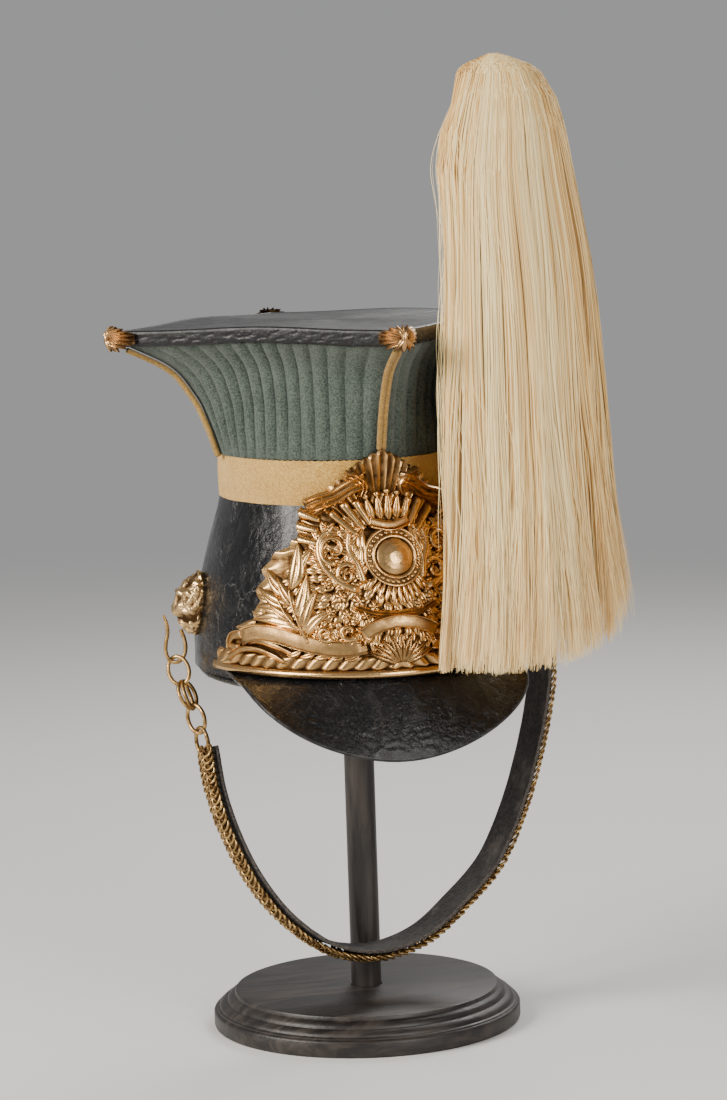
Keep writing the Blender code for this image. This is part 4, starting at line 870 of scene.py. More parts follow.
def peak_place(u, v):
    side = 2.0 * v - 1.0
    reach = np.interp(u, PEAK_BENDS, (0.0, 1.0, 1.0, 0.0))
    turn = np.interp(u, PEAK_BENDS, (0.0, 0.0, math.pi, math.pi))
    spots = peak_plain(side, reach)
    forward = unit_rows(peak_plain(side, reach + 0.01) - peak_plain(side, reach - 0.01))
    facing = unit_rows(np.cross(forward, peak_plain(side + 0.005, reach) - peak_plain(side - 0.005, reach)))
    facing *= np.sign(facing[:, 2])[:, None]
    flat = spots.copy()
    flat[:, 2] = 0.0
    inside = smooth_share(reach * 4.0)
    waves = 0.35 * ripple(spots, 0.05, 9.0) * inside * smooth_share((1.0 - reach) * 5.0)
    near_edge = smooth_share((reach - 0.42) / 0.3) * smooth_share((1.0 - reach) * 7.0)
    folded = smooth_share(0.3 + ripple(flat, 0.017, 8.0))
    folds = np.sin(reach * 55.0 + 4.2 * ripple(flat, 0.023, 3.0)) * folded
    folds = folds * (1.0 + 1.3 * smooth_share(1.0 - 3.0 * np.abs(side + 0.5)))
    lines = 1.0 - np.minimum(np.abs(ripple(flat, 0.011, 7.0)) * 5.0, 1.0)
    lines = lines * smooth_share(0.5 + ripple(flat, 0.025, 1.0)) * inside
    upright = np.maximum(np.sin(side * 31.0 + 1.8 * ripple(flat, 0.05, 6.0)), 0.0) ** 6
    upright = upright * smooth_share(reach * 5.0) * (1.0 - reach)
    fine = ripple(flat, 0.0075, 4.0) * smooth_share((1.0 - reach) * 8.0)
    crumple = waves + 0.15 * folds * near_edge + 0.32 * upright + 0.14 * fine + 0.16 * lines
    wall = PEAK_WALL * np.sqrt(np.clip(1.0 - ((np.abs(side) - 0.975) / 0.025) ** 2, 0.0, 1.0))
    wall = np.where(np.abs(side) < 0.975, PEAK_WALL, wall)
    middle = spots + facing * (crumple * MM * inside - 0.5 * wall)[:, None]
    spots = middle + 0.5 * wall[:, None] * (np.cos(turn)[:, None] * facing + np.sin(turn)[:, None] * forward)
    # The free edge is paled in patches: wear, and a painted highlight along its rounded edge.
    edge_wear_and_highlight = 0.45 * smooth_share((u - 0.555) / 0.01) * smooth_share((0.60 - u) / 0.02)
    edge_wear_and_highlight = edge_wear_and_highlight * smooth_share(0.6 + ripple(flat, 0.012, 2.0))
    worn = np.maximum(0.2 * lines + 0.08 * folds * near_edge, 0.3 * upright)
    worn = worn * smooth_share(ripple(flat, 0.019, 5.0) + 0.3)
    return np.column_stack((spots, np.maximum(edge_wear_and_highlight, worn * (u < 0.56))))


peak_mesh = faced_out(capped(shaped_mesh("peak_leather", 116, 180, peak_place, closed=True)))
new_piece("peak_leather", peak_mesh, peak_finish, ("peak",), sharp=50)

# %% [markdown]
# ## Lace, cloth and cords
#
# A strip of twill lace covers the join between leather and cloth. It is one woven strip with a soft
# sag, sewn along its upper edge, so it gets a slightly wavy edge and a row of small stitches.

# %% Waist lace and its stitches
BAND_FOOT, BAND_TOP = WAIST, WAIST + 24.0 * MM
LACE_OUT = 1.8 * MM


def lace_place(u, v):
    angle = u * math.tau
    seat = np.full_like(u, WAIST)
    wave = 0.22 * MM * ripple(skull_spot(angle, seat, LACE_OUT), 0.030, 4.0)
    edge = 0.25 * MM * np.sin(angle * 120.0) * smooth_share(v * 8.0 - 7.0)
    spots = skull_spot(angle, seat, LACE_OUT + (0.35 * MM + wave) * np.sin(v * math.pi))
    spots[:, 2] = BAND_FOOT + v * (BAND_TOP - BAND_FOOT) + edge + 0.5 * wave * (2.0 * v - 1.0)
    return spots


lace_mesh = walled(off_axis(shaped_mesh("waist_lace", 360, 12, lace_place, closed=True)), -1.4 * MM)
new_piece("waist_lace", lace_mesh, lace_finish, ("waist_band",), sharp=60)

STITCHES = 132
STITCH_RISE = np.array((0.05, 0.50, 0.50, 0.05)) * MM
stitches = []
for start in full_turn(STITCHES):
    line = skull_spot(start + np.linspace(0.0, 0.024, 4), np.full(4, WAIST), LACE_OUT + STITCH_RISE)
    line[:, 2] = BAND_TOP - 1.6 * MM
    stitches.append(tube_mesh("stitch", line, 0.32 * MM, 4, (0, 0, 1)))
new_piece("waist_stitches", joined_mesh("waist_stitches", stitches), stitch_finish)

# %% [markdown]
# The cloth body is pleated into narrow flutes, fourteen on each side of the square. At the waist its
# section is the skull's oval and at the board it is a square that stands on its corner, so each row
# of points is a blend of an oval and a diamond. A flute is half a sine wave: round on its crest, sharp
# in its valley.

# %% Fluted cloth
CLOTH_FOOT = BAND_TOP + 0.3 * MM
CLOTH_RISE = 62.0 * MM
CORNER_REACH = 116.0 * MM
FLUTES = 14
FLUTE_DEPTH = 2.1 * MM
BOARD_BOW = 2.2 * MM
CLOTH_REACH = dense_curve(((0.0, 0.0), (0.26, 0.11), (0.56, 0.29), (0.83, 0.59), (1.0, 1.0)))
CLOTH_SQUARE = dense_curve(((0.0, 0.16), (0.26, 0.40), (0.56, 0.68), (0.83, 0.88), (1.0, 1.0)))


def cloth_reach(angle, share):
    """Distance of the plain cloth from the cap's axis."""
    reach = np.interp(share, *CLOTH_REACH)
    square = np.interp(share, *CLOTH_SQUARE)
    side = (WAIST_WIDE + 4.5 * MM) * (1.0 - reach) + CORNER_REACH * reach
    front = (WAIST_LONG + 3.2 * MM) * (1.0 - reach) + CORNER_REACH * reach
    across, along = np.abs(np.sin(angle)), np.abs(np.cos(angle))
    oval = 1.0 / np.sqrt((across / side) ** 2 + (along / front) ** 2)
    straight = 1.0 / (across / side + along / front)
    return oval * (1.0 - square) + straight * square


def cloth_spot(angle, share, out=0.0):
    radius = cloth_reach(angle, share) + out
    z = CLOTH_FOOT + share * CLOTH_RISE + BOARD_BOW * np.sin(2.0 * angle) ** 2 * share**3
    return columns_of(CAP_X + radius * np.sin(angle), CAP_Y - radius * np.cos(angle), z)


def cloth_place(u, v):
    angle = u * math.tau
    face_share = (angle % (math.pi / 2.0)) / (math.pi / 2.0)
    flute = np.abs(np.sin(math.pi * FLUTES * face_share)) ** 0.85
    near_corner = smooth_share(np.minimum(face_share, 1.0 - face_share) * FLUTES)
    depth = FLUTE_DEPTH * (0.55 + 0.45 * smooth_share(v * 4.0)) * near_corner
    spots = cloth_spot(angle, v)
    sway = 0.25 * MM * ripple(spots, 0.035, 7.0)
    return cloth_spot(angle, v, depth * flute + sway * near_corner)


cloth_mesh = skirted(off_axis(shaped_mesh("fluted_cloth", 896, 32, cloth_place, closed=True)), 1.8 * MM)
new_piece("fluted_cloth", cloth_mesh, wool_finish, ("cloth_top",), sharp=70)

# %% Corner cords
# Each corner seam is covered by a cord of two strands that lie side by side. The one in front starts
# at the tip of the plate.
CORD_ROWS = 40
STRAND_RADIUS = 1.45 * MM
PLATE_TIP = 332.3 * MM
CORNERS = (("front", 0.0), ("left", math.pi / 2.0), ("back", math.pi), ("right", -math.pi / 2.0))


def corner_cord(name, angle, low_share):
    outward = np.array((math.sin(angle), -math.cos(angle), 0.0))
    aside = np.array((math.cos(angle), math.sin(angle), 0.0))
    path = cloth_spot(np.full(CORD_ROWS, angle), np.linspace(low_share, 1.0, CORD_ROWS))
    normal = unit_rows(np.cross(np.gradient(path, axis=0), aside))
    normal *= np.sign(normal @ outward)[:, None]
    path = path + normal * 2.1 * MM
    strands = []
    for offset in (-1.0, 1.0):
        strand = path + aside * (offset * 1.25 * MM)
        radius = STRAND_RADIUS * (1.0 + 0.05 * ripple(strand, 0.012, 3.0 + offset))
        strands.append(tube_mesh("strand", strand, radius, 14, aside))
    return joined_mesh(name, strands)


for side, angle in CORNERS:
    low_share = (PLATE_TIP - CLOTH_FOOT) / CLOTH_RISE if side == "front" else 0.0
    mesh = corner_cord("corner_cord_" + side, angle, low_share)
    new_piece("corner_cord_" + side, mesh, cord_finish, ("corner_piping_" + side,))

# %% [markdown]
# ## The square top
#
# The top is a thick board under one skin of patent leather, pulled over its edge. The skin of this
# piece is a polar grid pushed out to a square that stands on its corner, with the edge's outline from
# below to the middle of the top in one short table: a torn lower lip, a rounded upper edge that
# catches the light as one thin line, and a shallow groove inside it.

# %% Top board
BOARD_FOOT = CLOTH_FOOT + CLOTH_RISE + 0.3 * MM
BOARD_REACH = 122.0 * MM
BOARD_COLUMNS = 480
BOARD_EDGE = (
    (0.000, 0.0, 1.2), (0.080, 0.88, 0.8), (0.140, 0.955, 0.1), (0.200, 0.985, -0.3), (0.260, 0.997, 0.3),
    (0.320, 1.0, 1.4), (0.420, 1.0, 3.2), (0.500, 1.0, 5.0), (0.560, 1.0, 6.6), (0.600, 0.9985, 7.5),
    (0.640, 0.9945, 8.2), (0.680, 0.988, 8.55), (0.740, 0.972, 8.6), (0.780, 0.962, 8.2),
    (0.820, 0.952, 8.35), (0.860, 0.92, 8.3), (0.930, 0.6, 8.4), (1.000, 0.0, 9.3),
)
edge_at, edge_size, edge_rise = np.array(BOARD_EDGE).T


def board_place(u, v):
    angle = u * math.tau
    size = np.interp(v, edge_at, edge_size)
    rise = np.interp(v, edge_at, edge_rise) * MM
    radius = size * BOARD_REACH / (np.abs(np.sin(angle)) + np.abs(np.cos(angle)))
    bow = BOARD_BOW * np.sin(2.0 * angle) ** 2 * np.clip(size, 0.0, 1.0) ** 0.5
    x, y = CAP_X + radius * np.sin(angle), CAP_Y - radius * np.cos(angle)
    spots = columns_of(x, y, BOARD_FOOT + rise + bow)
    low = smooth_share((v - 0.10) * 12.0) * smooth_share((0.36 - v) * 10.0)
    side = smooth_share((v - 0.22) * 9.0) * smooth_share((0.58 - v) * 12.0)
    torn = ripple(spots, 0.008, 3.0) + 0.5 * ripple(spots, 0.0034, 6.0)
    pits = np.minimum(ripple(spots, 0.0042, 8.0) + 0.1, 0.0)
    outward = columns_of(np.sin(angle), -np.cos(angle), 0.0)
    spots[:, 2] += 0.55 * MM * low * torn
    spots += outward * (0.55 * MM * side * pits)[:, None]
    return spots


board_mesh = faced_out(shaped_mesh("board_leather", BOARD_COLUMNS, 44, board_place, closed=True))
new_piece("board_leather", board_mesh, board_finish, ("top_board",), sharp=50)

# %% [markdown]
# Each corner of the board is capped by a stamped tip like a bundle of little leaves, bent round the
# corner. The leaf is the ornament that comes back all over the cap, so it is one function: a skin along
# a bent middle line, pointed at its tip, with a sunk mid-rib, a domed half on either side and an edge
# that dips under the sheet it lies on.

# %% Leaf shape and corner leaves
LEAF_SIDES = np.array((-1.0, -0.90, -0.68, -0.38, -0.14, 0.0, 0.14, 0.38, 0.68, 0.90, 1.0))


def leaf_array(base, tip, width, rise, bend=0.0, fullness=0.75, rows=14, rib=0.30, lift=0.0):
    """Points (row, column, x / y / out / relief) of one leaf drawn on a plane, in metres."""
    base, tip = np.array(base, float), np.array(tip, float)
    t = np.linspace(0.0, 1.0, rows)[:, None]
    s = LEAF_SIDES[None, :]
    along = tip - base
    length = np.hypot(*along)
    aside = np.array((-along[1], along[0])) / length
    middle = base + along * t[..., None] + aside * (bend * length * 4.0 * t * (1.0 - t))[..., None]
    half = width * (np.sin(np.pi * t**fullness) + 0.10 * (1.0 - t)) ** 0.85
    flat = middle + aside * (half * s)[..., None]
    vein = 0.10 * np.cos(t * 26.0 - 9.0 * np.abs(s)) * (1.0 - np.abs(s)) * np.abs(s)
    dome = (1.0 - np.abs(s) ** 3.0) * (1.0 - rib * np.exp(-((s / 0.15) ** 2))) + vein
    swell = 0.30 + 0.70 * np.sin(np.pi * np.clip(t * 0.86 + 0.07, 0.0, 1.0))
    edge = np.abs(s) > 0.95
    out = rise * dome * swell + lift * MM * (1.0 - edge) - 0.5 * MM * edge
    # Relief is 0 at the dipped edge, so the brass finish paints a dark outline of shade round each leaf.
    relief = np.clip(0.10 + 1.0 * dome * (0.6 + 0.4 * swell), 0.0, 1.0) * (1.0 - edge)
    return np.dstack((flat[..., 0], flat[..., 1], out, relief))


ORNAMENT_REACH = 15.0 * MM
ORNAMENT_TALL = 14.0 * MM
ORNAMENT_SWELL = 4.3 * MM
CORNER_TIP = BOARD_REACH + 0.9 * MM * math.sqrt(2.0) + 1.1 * MM
BOARD_MIDDLE = BOARD_FOOT + 4.3 * MM


def corner_spots(side, up, out, angle):
    """World places for plane places on a corner tip: side runs round the corner, in metres."""
    share = np.clip(side / ORNAMENT_REACH, -1.15, 1.15)
    along = np.sqrt(side**2 + (1.2 * MM) ** 2) - 0.6 * MM
    tall = np.clip(2.0 * up / ORNAMENT_TALL, -1.2, 1.2)
    barrel = np.clip(1.0 - share**2, 0.0, 1.0) * (1.0 - 0.55 * np.clip(tall**2, 0.0, 1.0))
    swell = ORNAMENT_SWELL * barrel + out
    half = math.sqrt(0.5)
    x = side * half + np.sign(side) * 0.5 * swell * np.abs(share)
    y = -(CORNER_TIP - along * half + swell)
    z = BOARD_MIDDLE + up + BOARD_BOW * np.sin(np.abs(share) * 0.24) ** 2
    turned_x = x * math.cos(angle) - y * math.sin(angle)
    turned_y = x * math.sin(angle) + y * math.cos(angle)
    return columns_of(CAP_X + turned_x, CAP_Y + turned_y, z)


CORNER_LEAVES = (
    (0.5, 0.0, 4.0, 6.9, 1.9), (1.0, 2.2, 8.5, 5.6, 1.8), (1.5, 1.0, 12.0, 3.9, 1.7),
    (2.0, 0.4, 14.6, 1.7, 1.6), (2.0, -0.4, 15.0, -0.9, 1.6), (1.5, -1.0, 13.4, -3.4, 1.7),
    (1.0, -2.2, 10.2, -5.6, 1.8),
    (0.5, 0.0, 5.4, -7.1, 1.9), (4.6, 1.8, 10.8, 2.4, 1.4), (4.8, 0.0, 12.0, 0.4, 1.4),
    (4.6, -1.8, 10.6, -2.2, 1.4), (3.0, 3.2, 8.0, 4.2, 1.3), (3.0, -3.2, 8.4, -4.2, 1.3),
)


def corner_leaf_mesh(name, angle):
    """A shell bent round the corner under a sheaf of leaves, mirrored, with one upright in the middle."""
    def shell(u, v):
        side = (2.0 * u - 1.0) * (ORNAMENT_REACH - 1.0 * MM)
        tall = 0.5 * ORNAMENT_TALL * (1.0 - 0.55 * np.abs(2.0 * u - 1.0) ** 1.5) * 0.86
        spots = corner_spots(side, (2.0 * v - 1.0) * tall, np.full_like(u, -0.3 * MM), angle)
        # The shell keeps a low relief, so the brass finish paints it dark as patina and painted shade under
        # the leaves.
        return np.column_stack((spots, np.full_like(u, 0.1)))

    skins = [walled(shaped_mesh("shell", 28, 12, shell), 0.9 * MM)]
    leaves = []
    for mirror in (-1.0, 1.0):
        for base_side, base_up, tip_side, tip_up, width in CORNER_LEAVES:
            base = (mirror * base_side * MM, base_up * MM)
            tip = (mirror * tip_side * MM, tip_up * MM)
            leaves.append(leaf_array(base, tip, 0.82 * width * MM, 2.0 * MM, 0.05 * mirror, rib=0.4))
    leaves.append(leaf_array((0.0, -6.8 * MM), (0.0, 7.2 * MM), 2.2 * MM, 1.6 * MM, rib=0.1))
    leaves = np.array(leaves)
    spots = corner_spots(leaves[..., 0], leaves[..., 1], leaves[..., 2], angle)
    skins.append(many_skins("leaves", spots, relief=leaves[..., 3]))
    return joined_mesh(name, skins)


for side, angle in CORNERS:
    name = "corner_leaf_" + side
    mesh = corner_leaf_mesh(name, angle)
    new_piece(name, mesh, leaf_gilt_finish, ("corner_ornament_" + side,), sharp=60)

# %% [markdown]
# ## The rayed plate
#
# The plate is one stamped sheet that follows the skull. All of its work is drawn on a flat plane in
# millimetres and then wrapped: `drawn` turns an angle round the cap and a height into a place on the
# plane, and `on_plate` wraps a place on the plane back round the skull, at some height off the sheet.
# The ground of the sheet is a polar grid from the shield's centre to the rayed outline, so that every
# ray is a row of that grid.

# %% Plane of the plate
PLATE_FOOT = RIM + PEAK_SEAM + 0.3 * MM
PLATE_RISE = 120.0 * MM
PLATE_CENTRE = PLATE_FOOT + 0.54 * PLATE_RISE
SHEET = 1.8 * MM
PLATE_ROWS = (
    (0.0, 77.5), (0.15, 67.0), (0.25, 56.0), (0.39, 55.5), (0.51, 52.5), (0.60, 40.5), (0.74, 35.0),
    (0.86, 22.0), (0.95, 10.0), (1.0, 0.0),
)
arc_angles = np.linspace(0.0, math.radians(110.0), 400)
arc_steps = np.sqrt(np.cos(arc_angles) ** 2 + (1.27 * np.sin(arc_angles)) ** 2)
ARC_TABLE = np.concatenate(((0.0,), np.cumsum(0.5 * (arc_steps[1:] + arc_steps[:-1])) * arc_angles[1]))


def drawn(degrees, height):
    """Place on the plane for an angle in degrees and a height in millimetres."""
    z = np.asarray(height, float) * MM
    half_wide = skull_axes(z)[1]
    turn = np.radians(np.asarray(degrees, float))
    return np.sign(turn) * half_wide * np.interp(np.abs(turn), arc_angles, ARC_TABLE), z - PLATE_FOOT


def cloth_front(z):
    share = np.clip((z - CLOTH_FOOT) / CLOTH_RISE, 0.0, 1.0)
    return cloth_reach(np.zeros_like(z), share) - skull_axes(z)[0] + 1.5 * MM


def sheet_seat(z):
    """Gap between the skull and the back of the sheet, which clears peak, lace and cloth."""
    low, free, over_band = 2.9 * MM, 2.2 * MM, 2.4 * MM
    seat = low + (free - low) * smooth_share((z - PLATE_FOOT) / (14.0 * MM))
    seat = seat + (over_band - free) * smooth_share((z - BAND_FOOT + 9.0 * MM) / (8.0 * MM))
    over_cloth = smooth_share((z - BAND_FOOT - 4.0 * MM) / (BAND_TOP - BAND_FOOT - 4.0 * MM))
    return seat * (1.0 - over_cloth) + (cloth_front(np.maximum(z, CLOTH_FOOT)) + 0.6 * MM) * over_cloth


def on_plate(x, y, out):
    """World places for plane places x, y at a height out off the face of the bare sheet."""
    z = PLATE_FOOT + y
    half_wide = skull_axes(z)[1]
    turn = np.sign(x) * np.interp(np.abs(x) / half_wide, ARC_TABLE, arc_angles)
    return skull_spot(turn, z, sheet_seat(z) + SHEET + out)


def plate_edge():
    """Outline of the sheet round its centre: directions from the top and their radii."""
    rows = np.array(PLATE_ROWS)
    shares = np.linspace(0.0, 1.0, 200)
    half_angles = np.interp(shares, rows[:, 0], rows[:, 1])
    x, y = drawn(half_angles, (PLATE_FOOT + shares * PLATE_RISE) / MM)
    foot_x = np.linspace(0.0, x[0], 60)[:-1]
    x = np.concatenate((foot_x, x))
    y = np.concatenate((np.zeros(59), y)) - (PLATE_CENTRE - PLATE_FOOT)
    turn = np.arctan2(x, y)
    order = np.argsort(turn)
    return turn[order], np.hypot(x, y)[order]


EDGE_TURNS, EDGE_RADII = plate_edge()
RAY_BREAKS = (
    0.0, 2.4, 7.0, 11.6, 16.4, 21.5, 27.0, 33.5, 41.0, 48.5, 56.0, 63.5, 71.0, 78.5, 86.0, 93.5, 101.0,
    108.5, 116.0, 123.0,
)
RAY_PHASES = np.concatenate(((0.5,), np.arange(1.0, len(RAY_BREAKS))))
print("plate edge from", round(EDGE_RADII.min(), 4), "to", round(EDGE_RADII.max(), 4))

# %% Ground of the plate
ray_at = np.radians(np.array(RAY_BREAKS))
RAY_SWELL = 1.9 * MM
FLUTED_TO = math.radians(21.5)
RAY_START = ((0.0, 0.30), (0.40, 0.32), (0.80, 0.40), (1.0, 0.70), (1.5, 0.78), (2.2, 0.80))
start_at, start_share = np.array(RAY_START).T


def ground_place(u, v):
    turn = np.abs(2.0 * u - 1.0) * math.pi
    side = np.sign(u - 0.5)
    phase = np.interp(turn, ray_at, RAY_PHASES)
    share = phase - np.floor(phase)
    in_rays = smooth_share((ray_at[-1] - turn) / 0.04)
    pointed = 1.0 - 0.050 * np.abs(2.0 * share - 1.0) ** 1.4 * in_rays
    reach = v**0.8
    radius = np.interp(turn, EDGE_TURNS, EDGE_RADII) * pointed * reach
    x, y = side * radius * np.sin(turn), radius * np.cos(turn) + PLATE_CENTRE - PLATE_FOOT
    ridge = np.clip(1.05 - np.abs(2.0 * share - 1.0), 0.0, 1.0)
    hollow = np.abs(2.0 * share - 1.0) ** 1.7
    fluted = smooth_share((FLUTED_TO - turn) / 0.02)
    form = ridge + (hollow - ridge) * fluted
    onset = smooth_share((reach - np.interp(turn, start_at, start_share)) * 7.0) * in_rays
    y = np.maximum(y, 0.0)
    pebble = 0.22 * MM * ripple(columns_of(x, y, 0.0 * x), 0.0032, 3.0) * (1.0 - onset)
    spots = on_plate(x, y, RAY_SWELL * form * onset + pebble * smooth_share((1.0 - v) * 12.0))
    # The bare ground keeps a low relief, so the brass finish paints it dark as patina and painted shade under
    # the raised work; flutes are paler on their ridges than in their hollows.
    relief = 0.02 + onset * (0.10 + 0.88 * form) + 0.06 * ripple(spots, 0.02, 2.0) * (1.0 - onset)
    return np.column_stack((spots, np.clip(relief, 0.0, 1.0)))


ground_mesh = skirted(off_axis(shaped_mesh("plate_rays", 840, 40, ground_place, closed=True)), 1.7 * MM)
new_piece("plate_rays", ground_mesh, gilt_finish, ("plate",), sharp=60)

# %% Helpers for the raised work
WORK_LIFT = 0.7 * MM


def wrapped_skins(name, arrays):
    """One mesh on the plate from arrays of plane points with height and relief, of one size."""
    arrays = np.array(arrays)
    raised = arrays[..., 2] + WORK_LIFT * (arrays[..., 2] > 0.0)
    spots = on_plate(arrays[..., 0], arrays[..., 1], raised)
    return many_skins(name, spots, relief=arrays[..., 3])


def both_sides(arrays):
    """The arrays and their mirror images, with their columns turned so that faces still look out."""
    mirrored = np.array(arrays)[:, :, ::-1].copy()
    mirrored[..., 0] *= -1.0
    return np.concatenate((np.array(arrays), mirrored))


def leaf_on(base, tip, width, rise=1.5, bend=0.0, **more):
    """A leaf between two places given as (degrees, height), its half-width and rise in millimetres."""
    return leaf_array(drawn(*base), drawn(*tip), width * MM, rise * MM, bend, rows=13, **more)


def plane_path(anchors, count):
    """A smooth line on the plane through (degrees, height) anchors."""
    x, y = drawn(*np.array(anchors, float).T)
    steps = np.concatenate(((0.0,), np.cumsum(np.hypot(np.diff(x), np.diff(y)))))
    shares = steps / steps[-1]
    return np.stack([dense_curve(list(zip(shares, way)), count)[1] for way in (x, y)], axis=-1)


def band_array(anchors, width, rise, profile, taper=0.0, lift=0.0, wave=0.0, count=60):
    """A band along a line on the plane; profile lists (side -1 to 1, height share) across it."""
    path = plane_path(anchors, count)
    along = np.gradient(path, axis=0)
    aside = np.stack((-along[:, 1], along[:, 0]), axis=-1) / np.hypot(*along.T)[:, None]
    t = np.linspace(0.0, 1.0, count)[:, None]
    side, share = np.array(profile).T
    half = 0.5 * width * MM * (1.0 - taper * t)
    flat = path[:, None] + aside[:, None] * (half * side[None, :])[..., None]
    inside = share[None, :] > -0.1
    raised = (wave * np.sin(t * math.pi * 3.0) + lift) * MM * inside
    out = rise * MM * share[None, :] + raised
    out = out * np.minimum(1.0, 12.0 * np.minimum(t, 1.0 - t) + 0.3)
    # Relief is 0 where the band's edges dip under the sheet, so the brass finish paints a dark outline of
    # shade along them.
    relief = np.clip(0.05 + 0.95 * share[None, :], 0.0, 1.0) * np.ones_like(t)
    return np.dstack((flat[..., 0], flat[..., 1], out, relief))


def band_arrays(rows):
    return [band_array(*row) for row in rows]


BORDERED = (
    (-1.0, -0.3), (-0.95, 0.62), (-0.88, 1.0), (-0.78, 0.92), (-0.70, 0.45), (-0.35, 0.52), (0.0, 0.56),
    (0.35, 0.52), (0.70, 0.45), (0.78, 0.92), (0.88, 1.0), (0.95, 0.62), (1.0, -0.3),
)
FOLDED = (
    (-1.0, -0.3), (-0.94, 0.6), (-0.80, 0.95), (-0.62, 0.35), (-0.45, 0.25), (-0.25, 0.80), (-0.08, 1.0),
    (0.10, 0.35), (0.28, 0.25), (0.48, 0.75), (0.66, 1.0), (0.90, 0.60), (1.0, -0.3),
)
ROUND_SIDES = (-0.95, -0.82, -0.62, -0.40, -0.18, 0.0, 0.18, 0.40, 0.62, 0.82, 0.95)
round_rows = [(side, round(math.sqrt(1.0 - side * side), 4)) for side in ROUND_SIDES]
ROUND_TOP = ((-1.0, -0.3), *round_rows, (1.0, -0.3))

# %% [markdown]
# ### Laurel, ribbons and scrolls
#
# Laurel sprays spread from a short stem on each side, ribbons hang under the rays and a folded scroll
# runs along the foot. The sprays are lists of leaves with a base, a tip and a width each; the other
# half of the plate is their mirror image.

# %% Feathered ground
FEATHERS = []
for row in range(11):
    reach = 17.0 + 4.2 * row
    count = int(math.tau * reach / 4.6)
    for k in range(count):
        swing = math.tau * (k + 0.5 * (row % 2)) / count
        lean = swing + 0.30 * math.sin(5.0 * swing + row)
        x = reach * MM * math.sin(swing)
        y = PLATE_CENTRE - PLATE_FOOT + reach * MM * math.cos(swing)
        around = abs(math.atan2(math.sin(swing), math.cos(swing)))
        limit = float(np.interp(around, EDGE_TURNS, EDGE_RADII))
        starts = float(np.interp(around, start_at, start_share))
        in_the_way = (around < 0.42 and reach > 26.0) or y < 9.0 * MM
        if in_the_way or (reach + 5.0) * MM > max(starts, 0.62) * limit:
            continue
        tip = (x + 7.6 * MM * math.sin(lean), y + 7.6 * MM * math.cos(lean))
        bend = 0.05 * (-1) ** k
        FEATHERS.append(leaf_array((x, y), tip, 2.6 * MM, 1.7 * MM, bend, rows=8, rib=0.35, lift=0.3))
feather_mesh = wrapped_skins("feathers", FEATHERS)
print(len(FEATHERS), "feathers on the ground")

# %% Laurel sprays and fronds
# Each row: place of the base, place of the tip, half-width, rise, bend and lift.
LAUREL = (
    (-36, 236, -50, 236.5, 3.4, 2.4, -0.10, 0.2), (-39, 240, -56, 241.5, 4.2, 2.6, -0.10, 0.5),
    (-40, 245, -54.5, 249, 4.0, 2.8, -0.06, 0.7), (-41, 250, -54, 259, 4.2, 2.8, 0.08, 0.9),
    (-41, 255, -51, 269, 4.4, 3.0, 0.10, 1.0), (-38, 261, -31.5, 281, 3.4, 2.6, 0.10, 0.7),
    (-40, 259, -38.0, 284, 4.8, 3.2, -0.06, 1.2), (-38.5, 250, -46, 265, 3.6, 3.0, 0.05, 1.6),
    (-38, 244, -34, 267, 4.4, 3.2, -0.05, 1.6), (-36, 236, -29.5, 260, 4.0, 3.2, 0.08, 1.4),
    (-39, 243, -49, 252, 3.0, 3.0, 0.06, 1.8), (-35, 234, -24, 249, 3.4, 2.6, 0.10, 0.9),
    (-34, 233, -20, 241, 3.2, 2.4, -0.08, 0.7), (-55, 240.5, -64.5, 236.5, 3.0, 1.8, 0.08, 0.0),
    (-50, 244, -57, 246, 2.8, 1.7, 0.05, 0.0), (-48, 252, -55.5, 255, 2.8, 1.8, 0.05, 0.0),
)
laurel = [leaf_on(row[:2], row[2:4], *row[4:7], lift=row[7]) for row in LAUREL]
laurel_mesh = wrapped_skins("laurels", both_sides(laurel))
stem_paths = (
    ((-33, 230), (-36, 239), (-39, 250), (-41, 261)), ((-36, 237), (-42, 247), (-46, 256)),
)
stem_bands = [band_array(path, 2.0, 1.6, ROUND_TOP, 0.5, 2.6, count=30) for path in stem_paths]
stem_mesh = wrapped_skins("stems", both_sides(stem_bands))
laurels = joined_mesh("plate_laurels", [feather_mesh, laurel_mesh, stem_mesh])
new_piece("plate_laurels", laurels, gilt_finish, sharp=70)

# %% Ribbons and scrolls
# Each row: the line's places, then width, rise, profile, taper, lift and wave.
HIGH_LINE = ((-35.5, 301.5), (-29, 304.5), (-22, 307), (-14.5, 312.5), (-7.6, 315.5))
LONG_LINE = (
    (-61.5, 231.0), (-54, 235.2), (-46, 235.0), (-37, 232.0), (-28, 229.2), (-20, 228.4), (-13.0, 230.0),
)
LOW_LINE = ((-67.5, 219.6), (-61, 225.0), (-54, 226.2), (-47, 223.6), (-41.5, 219.6))
UPPER_RIBBONS = (
    (HIGH_LINE, 8.6, 2.6, FOLDED, 0.0, 1.6, 0.6),
    (((-38.5, 297.5), (-33.5, 298), (-29, 300.5), (-25.5, 305.5)), 5.6, 2.0, FOLDED, 0.0, 1.4),
    (((-17.5, 319.0), (-13.0, 317.2), (-9.0, 312.5), (-10.5, 306.0)), 5.4, 2.2, FOLDED, 0.25, 2.4),
)
LONG_SCROLLS = (
    (LONG_LINE, 9.4, 2.4, BORDERED, 0.0, 1.8),
    (((-61.0, 233.5), (-65.5, 231.0), (-66.5, 227.0), (-62.0, 225.6)), 5.0, 2.0, BORDERED, 0.2, 0.8),
    (LOW_LINE, 3.6, 2.0, BORDERED, 0.35, 1.0),
    (((-58.5, 229.6), (-53, 230.6), (-46, 228.6), (-39.0, 224.6)), 3.4, 1.8, BORDERED, 0.35, 0.8),
)
